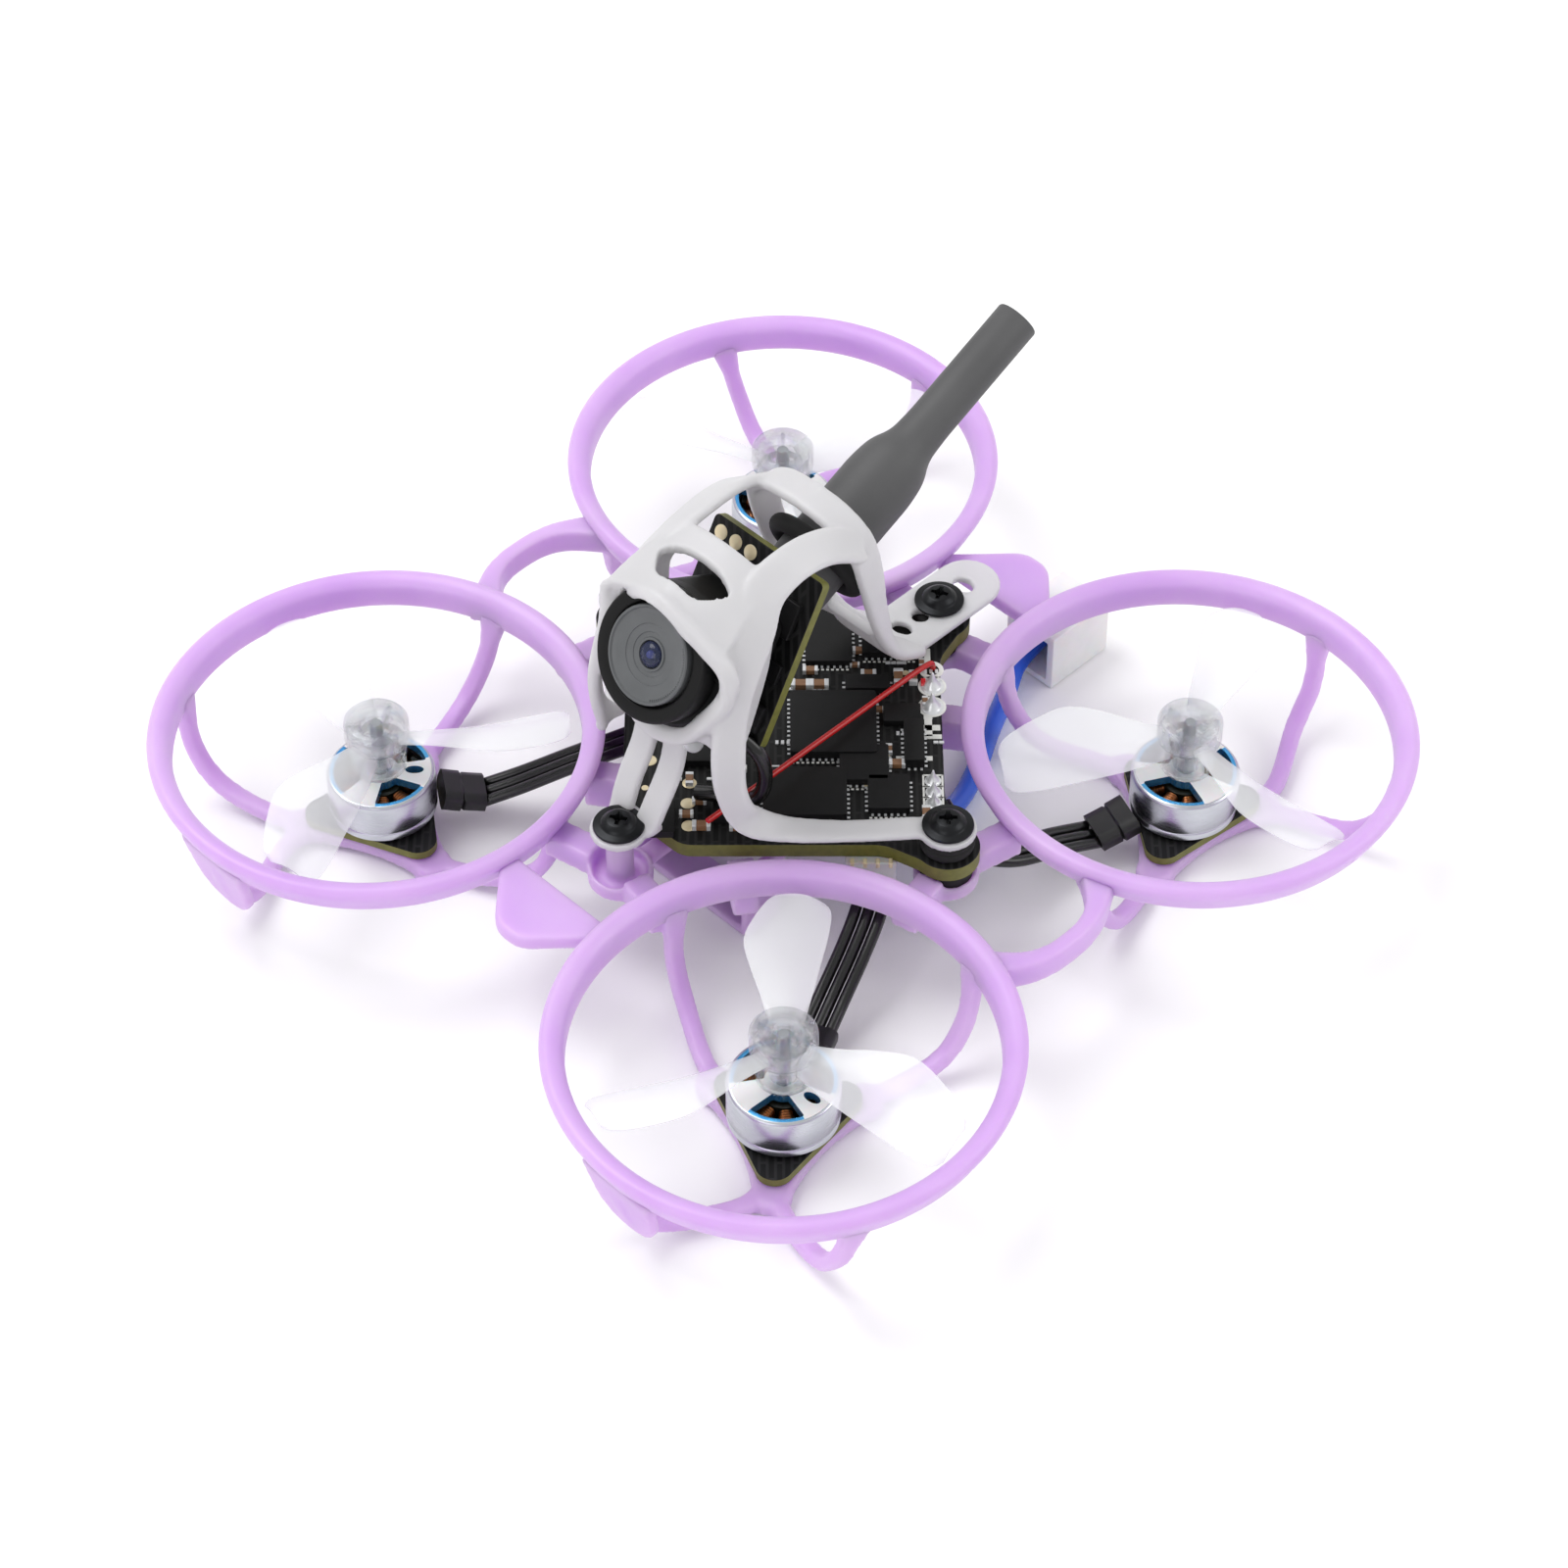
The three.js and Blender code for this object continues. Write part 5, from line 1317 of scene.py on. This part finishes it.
RECEIVER_ROUTE = [(3.85, 13.3, 0.08), (3.87, 13.1, 0.75), (3.95, 12.3, 1.1), (4.25, 3, 1.7), (4.7, -13, 2.5)]
BATTERY_ROUTE = [(10.6, 2.4, -2.95), (10.6, 3, -4.6), (10.4, 5.4, -7), (9.9, 8.4, -9), (9, 11.6, -10.1),
                 (7.4, 15.2, -10.38), (5.2, 19.2, -10.4), (3.4, 23, -10.3), (2, 25.8, -9.7),
                 (1.6, 29, -9.1), (1.6, 31.4, -9.1)]


def battery_plug():
    """The white plug in two steps, open at the lead end."""
    bm = bmesh.new()
    block(bm, (-0.35, 27, GROUND), (4.95, 34, -5.7), edge=0.12)
    block(bm, (-0.35, 33, GROUND + 0.02), (4.95, 36.6, -3.6), edge=0.12)
    block(bm, (0.6, 28.4, -5.8), (4.0, 33.1, -5.2), edge=0.1)
    obj = as_object("battery_plug_detail", bm)
    mouth = bmesh.new()
    block(mouth, (0.3, 26, GROUND + 0.7), (4.3, 31.8, -6.4), edge=0.1)
    cut(obj, mouth)
    return obj


# ---------------------------------------------------------------- add-on

class DroneLook(bpy.types.PropertyGroup):
    """Colours, floor and light that a user may change before building."""
    frame_colour: bpy.props.FloatVectorProperty(
        name="Duct frame colour", description="Base colour of the moulded duct frame", size=3,
        default=linear(FINISHES["lavender_nylon"]["base"])[:3], min=0, max=1, subtype="COLOR")
    canopy_colour: bpy.props.FloatVectorProperty(
        name="Canopy colour", description="Base colour of the frosted canopy", size=3,
        default=linear(FINISHES["frosted_nylon"]["base"])[:3], min=0, max=1, subtype="COLOR")
    lead_colour: bpy.props.FloatVectorProperty(
        name="Battery lead colour", description="Base colour of the battery lead", size=3,
        default=linear(FINISHES["wire_blue"]["base"])[:3], min=0, max=1, subtype="COLOR")
    brightness: bpy.props.FloatProperty(
        name="Light brightness", description="Strength of the soft studio light around the drone",
        default=1.0, min=0.1, max=4)
    floor_size: bpy.props.FloatProperty(
        name="Floor size", description="Width of the pale studio floor", default=6.0, min=0.5, max=20,
        unit="LENGTH")


CAMERA_PLACE = Vector((0.16861, -0.16893, 0.25537))
CAMERA_AIM = Vector((0.00441, -0.00433, 0.0113))
FOCAL_LENGTH = 98.1
WORLD_STRENGTH = 0.74
FLOOR_DROP = 0.1 * MM
LIGHTS = (  # name, place and width in metres, power in watts
    ("key_light", (-0.25, -0.1, 0.5), 0.35, 1.7),
    ("side_light", (0.35, 0.3, 0.35), 0.3, 0.7),
    ("front_light", (0.15, -0.5, 0.25), 0.3, 0.5),
)


def aim(obj, place, target):
    """Puts a camera or lamp at a place, looking at the target."""
    obj.location = place
    obj.rotation_euler = (Vector(target) - Vector(place)).to_track_quat("-Z", "Y").to_euler()
    bpy.context.scene.collection.objects.link(obj)


class Stage(bpy.types.Operator):
    """Builds the camera, the soft lights and the pale floor."""
    bl_idname = "drone.stage"
    bl_label = "Stage"

    def execute(self, context):
        look = context.scene.drone_look
        camera = bpy.data.objects.new("Camera", bpy.data.cameras.new("Camera"))
        camera.data.lens = FOCAL_LENGTH
        camera.data.sensor_width = 36
        aim(camera, CAMERA_PLACE, CAMERA_AIM)
        context.scene.camera = camera
        context.scene.view_settings.view_transform = "Standard"
        world = bpy.data.worlds.new("Studio")
        world.use_nodes = True
        sky = world.node_tree.nodes["Background"].inputs
        sky["Color"].default_value = (1, 1, 1, 1)
        sky["Strength"].default_value = WORLD_STRENGTH * look.brightness
        context.scene.world = world
        for name, place, size, power in LIGHTS:
            light = bpy.data.lights.new(name, "AREA")
            light.size = size
            light.energy = power * look.brightness
            aim(bpy.data.objects.new(name, light), place, (0, 0, 0.01))
        bm = bmesh.new()
        half = look.floor_size / 2
        corners = ((-half, -half), (half, -half), (half, half), (-half, half))
        bm.faces.new([bm.verts.new((x, y, -FLOOR_DROP)) for x, y in corners])
        floor = as_object("studio_floor", bm, Matrix())
        floor.data.materials.append(material("studio_paper"))
        return {"FINISHED"}


class BatteryLead(bpy.types.Operator):
    """Builds the blue battery lead with its plug and terminal."""
    bl_idname = "drone.battery_lead"
    bl_label = "Battery lead"

    def execute(self, context):
        plug = dress(battery_plug(), "airframe", ["plug_nylon"], ["battery_plug"])
        terminal = bmesh.new()
        turn = Matrix.Translation((BATTERY_ROUTE[0][0], BATTERY_ROUTE[0][1], 0))
        block(terminal, (-1.2, -1.2, -2.6), (1.2, 1.2, -1.46), turn, 0.1)
        piece("lead_terminal_detail", terminal, "airframe", ["plug_nylon"],
              ["lead_terminal"])
        bm = bmesh.new()
        sweep(bm, BATTERY_ROUTE, circle(0.85, 24), 72)
        lead = piece("battery_lead_blue", bm, "airframe", ["wire_blue"], ["battery_lead"])
        return {"FINISHED"}


class DuctFrame(bpy.types.Operator):
    """Builds the lavender frame: rims, spokes, pads, webs and battery tray."""
    bl_idname = "drone.duct_frame"
    bl_label = "Duct frame"

    def execute(self, context):
        piece("duct_rims", duct_rims(), "airframe", ["lavender_nylon"], ["duct_frame"], 60)
        dress(frame_webs(), "airframe", ["lavender_nylon"], (), 80)
        return {"FINISHED"}


class Motors(bpy.types.Operator):
    """Builds the four motors: boards, stators, windings, bells and shafts."""
    bl_idname = "drone.motors"
    bl_label = "Motors"

    def execute(self, context):
        for name, x, y, spin, blade in QUADS:
            shift = Matrix.Translation((x * ARM * MM, y * ARM * MM, 0))
            turn = Matrix.Rotation(math.radians(blade), 4, "Z")
            rotor = "rotor_" + name
            bell = bell_shape("bell_" + name, shift @ turn)
            dress(bell, rotor, ["turned_aluminium", "blue_anodised", "plug_nylon"],
                  ["motor_bell_" + name], 40)
            shaft = bmesh.new()
            lathe(shaft, [(0, -8.6), (0.5, -8.6), (0.5, 0.6), (0.42, 0.7), (0, 0.7)], 24)
            obj = as_object("shaft_" + name, shaft)
            obj.data.transform(shift)
            dress(obj, rotor, ["ground_steel"], ["motor_shaft_" + name])
            board = as_object("motor_plate_" + name, motor_board())
            place = duct_place(x, y)
            place.translation *= MM
            board.data.transform(place)
            if x * y > 0:
                board.data.flip_normals()
            paint_edges(board, 1)
            dress(board, "airframe", ["solder_mask", "board_edge"], ["motor_board_" + name])
            core = as_object("core_" + name, stator_core())
            core.data.transform(shift)
            dress(core, "airframe", ["lamination_steel"], ["stator_" + name])
            spots = [((0, 0, 0), (0, 0, 40 * k)) for k in range(9)]
            wire = copies("windings_" + name, coil(), spots, "copper_wire")
            wire.data.transform(shift)
            dress(wire, "airframe", ["copper_wire"])
        return {"FINISHED"}


class Propellers(bpy.types.Operator):
    """Builds the four clear three-bladed propellers."""
    bl_idname = "drone.propellers"
    bl_label = "Propellers"

    def execute(self, context):
        for name, x, y, spin, blade in QUADS:
            shift = Matrix.Translation((x * ARM * MM, y * ARM * MM, 0))
            turn = Matrix.Rotation(math.radians(blade), 4, "Z")
            obj = propeller("prop_" + name, spin, shift @ turn)
            dress(obj, "rotor_" + name, ["clear_polycarbonate"],
                  ["propeller_" + name], 50)
        return {"FINISHED"}


class Wiring(bpy.types.Operator):
    """Builds the motor leads, their sleeves, the motor plug and the receiver antenna."""
    bl_idname = "drone.wiring"
    bl_label = "Wiring"

    def execute(self, context):
        leads = [f"motor_lead_{quad[0]}_{k}" for quad in QUADS for k in (1, 2, 3)]
        piece("motor_leads", motor_leads(), "airframe", ["wire_black"], leads)
        sleeves = ["lead_sleeve_" + quad[0] for quad in QUADS]
        piece("lead_sleeves", lead_sleeves(), "airframe", ["shrink_sleeve"], sleeves, 45)
        bm = bmesh.new()
        sweep(bm, RECEIVER_ROUTE, circle(0.24, 14), 60)
        piece("receiver_wire", bm, "airframe", ["wire_red"], ["receiver_antenna"])
        bm = bmesh.new()
        sweep(bm, [(4.3, -8.9, 8.6), (5.6, -8.4, 7.4), (6, -8, 5), (5.6, -8.2, 2.6), (4.4, -8.8, 1.5),
                   (2.2, -9.8, 1.3), (0.8, -10.4, 0.9)], circle(0.62, 18), 60)
        piece("video_lead", bm, "airframe", ["wire_black"])
        turn = Matrix.Translation((13.5, -3.8, 0)) @ Matrix.Rotation(math.radians(-45), 4, "Z")
        bm = bmesh.new()
        block(bm, (-1.7, -2, -3.7), (1.1, 2, -1.46), turn, 0.1)
        piece("motor_plug_detail", bm, "airframe", ["plug_nylon"], ["motor_plug"])
        pin = bmesh.new()
        block(pin, (-0.3, -0.16, -0.55), (0.3, 0.16, 0.0), edge=0.04)
        spots = [(tuple(turn @ Vector((1.25, -1.5 + 1.0 * k, -1.0))), (0, 0, -45)) for k in range(4)]
        dress(copies("plug_pins", pin, spots, "gold_pad"), "airframe", ["gold_pad"])
        return {"FINISHED"}


class FlightBoard(bpy.types.Operator):
    """Builds the flight board with its parts, grommets and screws."""
    bl_idname = "drone.flight_board"
    bl_label = "Flight board"

    def execute(self, context):
        board = flight_board()
        paint_edges(board, 1)
        dress(board, "airframe", ["solder_mask", "board_edge"], ["flight_board"])
        for obj, slot, nodes in board_parts():
            dress(obj, "airframe", [], nodes)
        rubbers = ["grommet_right", "grommet_left", "grommet_rear"]
        piece("grommets", grommets(), "airframe", ["black_rubber"], rubbers)
        spots = [((x, y, seat), (0, 0, turn)) for ((x, y), seat), turn in zip(SEATS, (12, 25, 40, 8))]
        screws = copies("canopy_screws", screw_shape(), spots, "black_oxide")
        dress(screws, "airframe", ["black_oxide"],
              ["screw_front", "screw_right", "screw_left", "screw_rear"])
        return {"FINISHED"}


class CameraAndAntenna(bpy.types.Operator):
    """Builds the video board, the camera, its lens and the antenna."""
    bl_idname = "drone.camera_and_antenna"
    bl_label = "Camera and antenna"

    def execute(self, context):
        board = as_object("video_board_detail", video_board())
        tilt = CAMERA.to_3x3() @ Vector((0, 0, 1))
        for face in board.data.polygons:
            if abs(face.normal.dot(tilt)) < 0.5:
                face.material_index = 1
        dress(board, "airframe", ["solder_mask", "board_edge"], ["video_board"])
        pad = bmesh.new()
        lathe(pad, [(0, -0.01), (0.62, -0.01), (0.62, 0.03), (0.58, 0.05), (0, 0.05)], 28, CAMERA)
        spots = [(tuple(CAMERA.to_3x3() @ Vector((x, 6.1, 0.46))),) for x in (-4.7, -3.1, -1.5)]
        dress(copies("video_pads", pad, spots, "gold_pad"), "airframe", [])
        parts = bmesh.new()
        for x, y, w, d, h, back in VIDEO_CHIPS:
            low, high = (0.44, 0.45 + h) if not back else (-0.45 - h, -0.44)
            block(parts, (x - w / 2, y - d / 2, low), (x + w / 2, y + d / 2, high), CAMERA, 0.04)
        piece("video_chips", parts, "airframe", ["chip_epoxy"])
        piece("camera_body", camera_body(), "airframe", ["black_abs"], ["camera_housing"])
        piece("lens_ring", lens_body(), "airframe", ["lens_ring"], ["lens_barrel"], 25)
        piece("lens_dome", lens_dome(), "airframe", ["lens_glass"], ["lens_glass"], 60)
        pupil = bmesh.new()
        bmesh.ops.create_uvsphere(pupil, u_segments=24, v_segments=12, radius=0.34,
                                  matrix=LENS @ Matrix.Translation((0, 0, 10.3)))
        piece("lens_pupil", pupil, "airframe", ["lens_coating"])
        piece("antenna_tube", antenna_tube(), "airframe", ["antenna_tube"],
              ["antenna_sleeve"], 40)
        bm = bmesh.new()
        torus(bm, 3.85, 0.75, ANTENNA @ Matrix.Translation((0, 0, RING_AT)))
        piece("antenna_grommet", bm, "airframe", ["black_rubber"], ["antenna_ring"])
        return {"FINISHED"}


class Canopy(bpy.types.Operator):
    """Builds the frosted canopy over the camera."""
    bl_idname = "drone.canopy"
    bl_label = "Canopy"

    def execute(self, context):
        dress(canopy(), "airframe", ["frosted_nylon"], ["canopy"], 80)
        bead = bmesh.new()
        bmesh.ops.create_icosphere(bead, subdivisions=3, radius=0.8,
                                   matrix=Matrix.Translation((3.3, -13.0, 10.2)))
        piece("canopy_bead", bead, "airframe", ["clear_polycarbonate"])
        return {"FINISHED"}


OPERATORS = (Stage, BatteryLead, DuctFrame, Motors, Propellers, Wiring, FlightBoard, CameraAndAntenna, Canopy)


class DronePanel(bpy.types.Panel):
    """Lists the drone's building steps."""
    bl_idname = "VIEW3D_PT_drone"
    bl_label = "Ducted Racing Drone"
    bl_space_type = "VIEW_3D"
    bl_region_type = "UI"
    bl_category = "Drone"

    def draw(self, context):
        look = context.scene.drone_look
        for setting in ("frame_colour", "canopy_colour", "lead_colour", "brightness", "floor_size"):
            self.layout.prop(look, setting)
        for operator in OPERATORS:
            self.layout.operator(operator.bl_idname)


CLASSES = (DroneLook, *OPERATORS, DronePanel)


def register():
    for cls in CLASSES:
        bpy.utils.register_class(cls)
    bpy.types.Scene.drone_look = bpy.props.PointerProperty(type=DroneLook)


def unregister():
    del bpy.types.Scene.drone_look
    for cls in reversed(CLASSES):
        bpy.utils.unregister_class(cls)


def main():
    register()
    for operator in OPERATORS:
        group, name = operator.bl_idname.split(".")
        getattr(getattr(bpy.ops, group), name)()


if __name__ == "__main__":
    main()
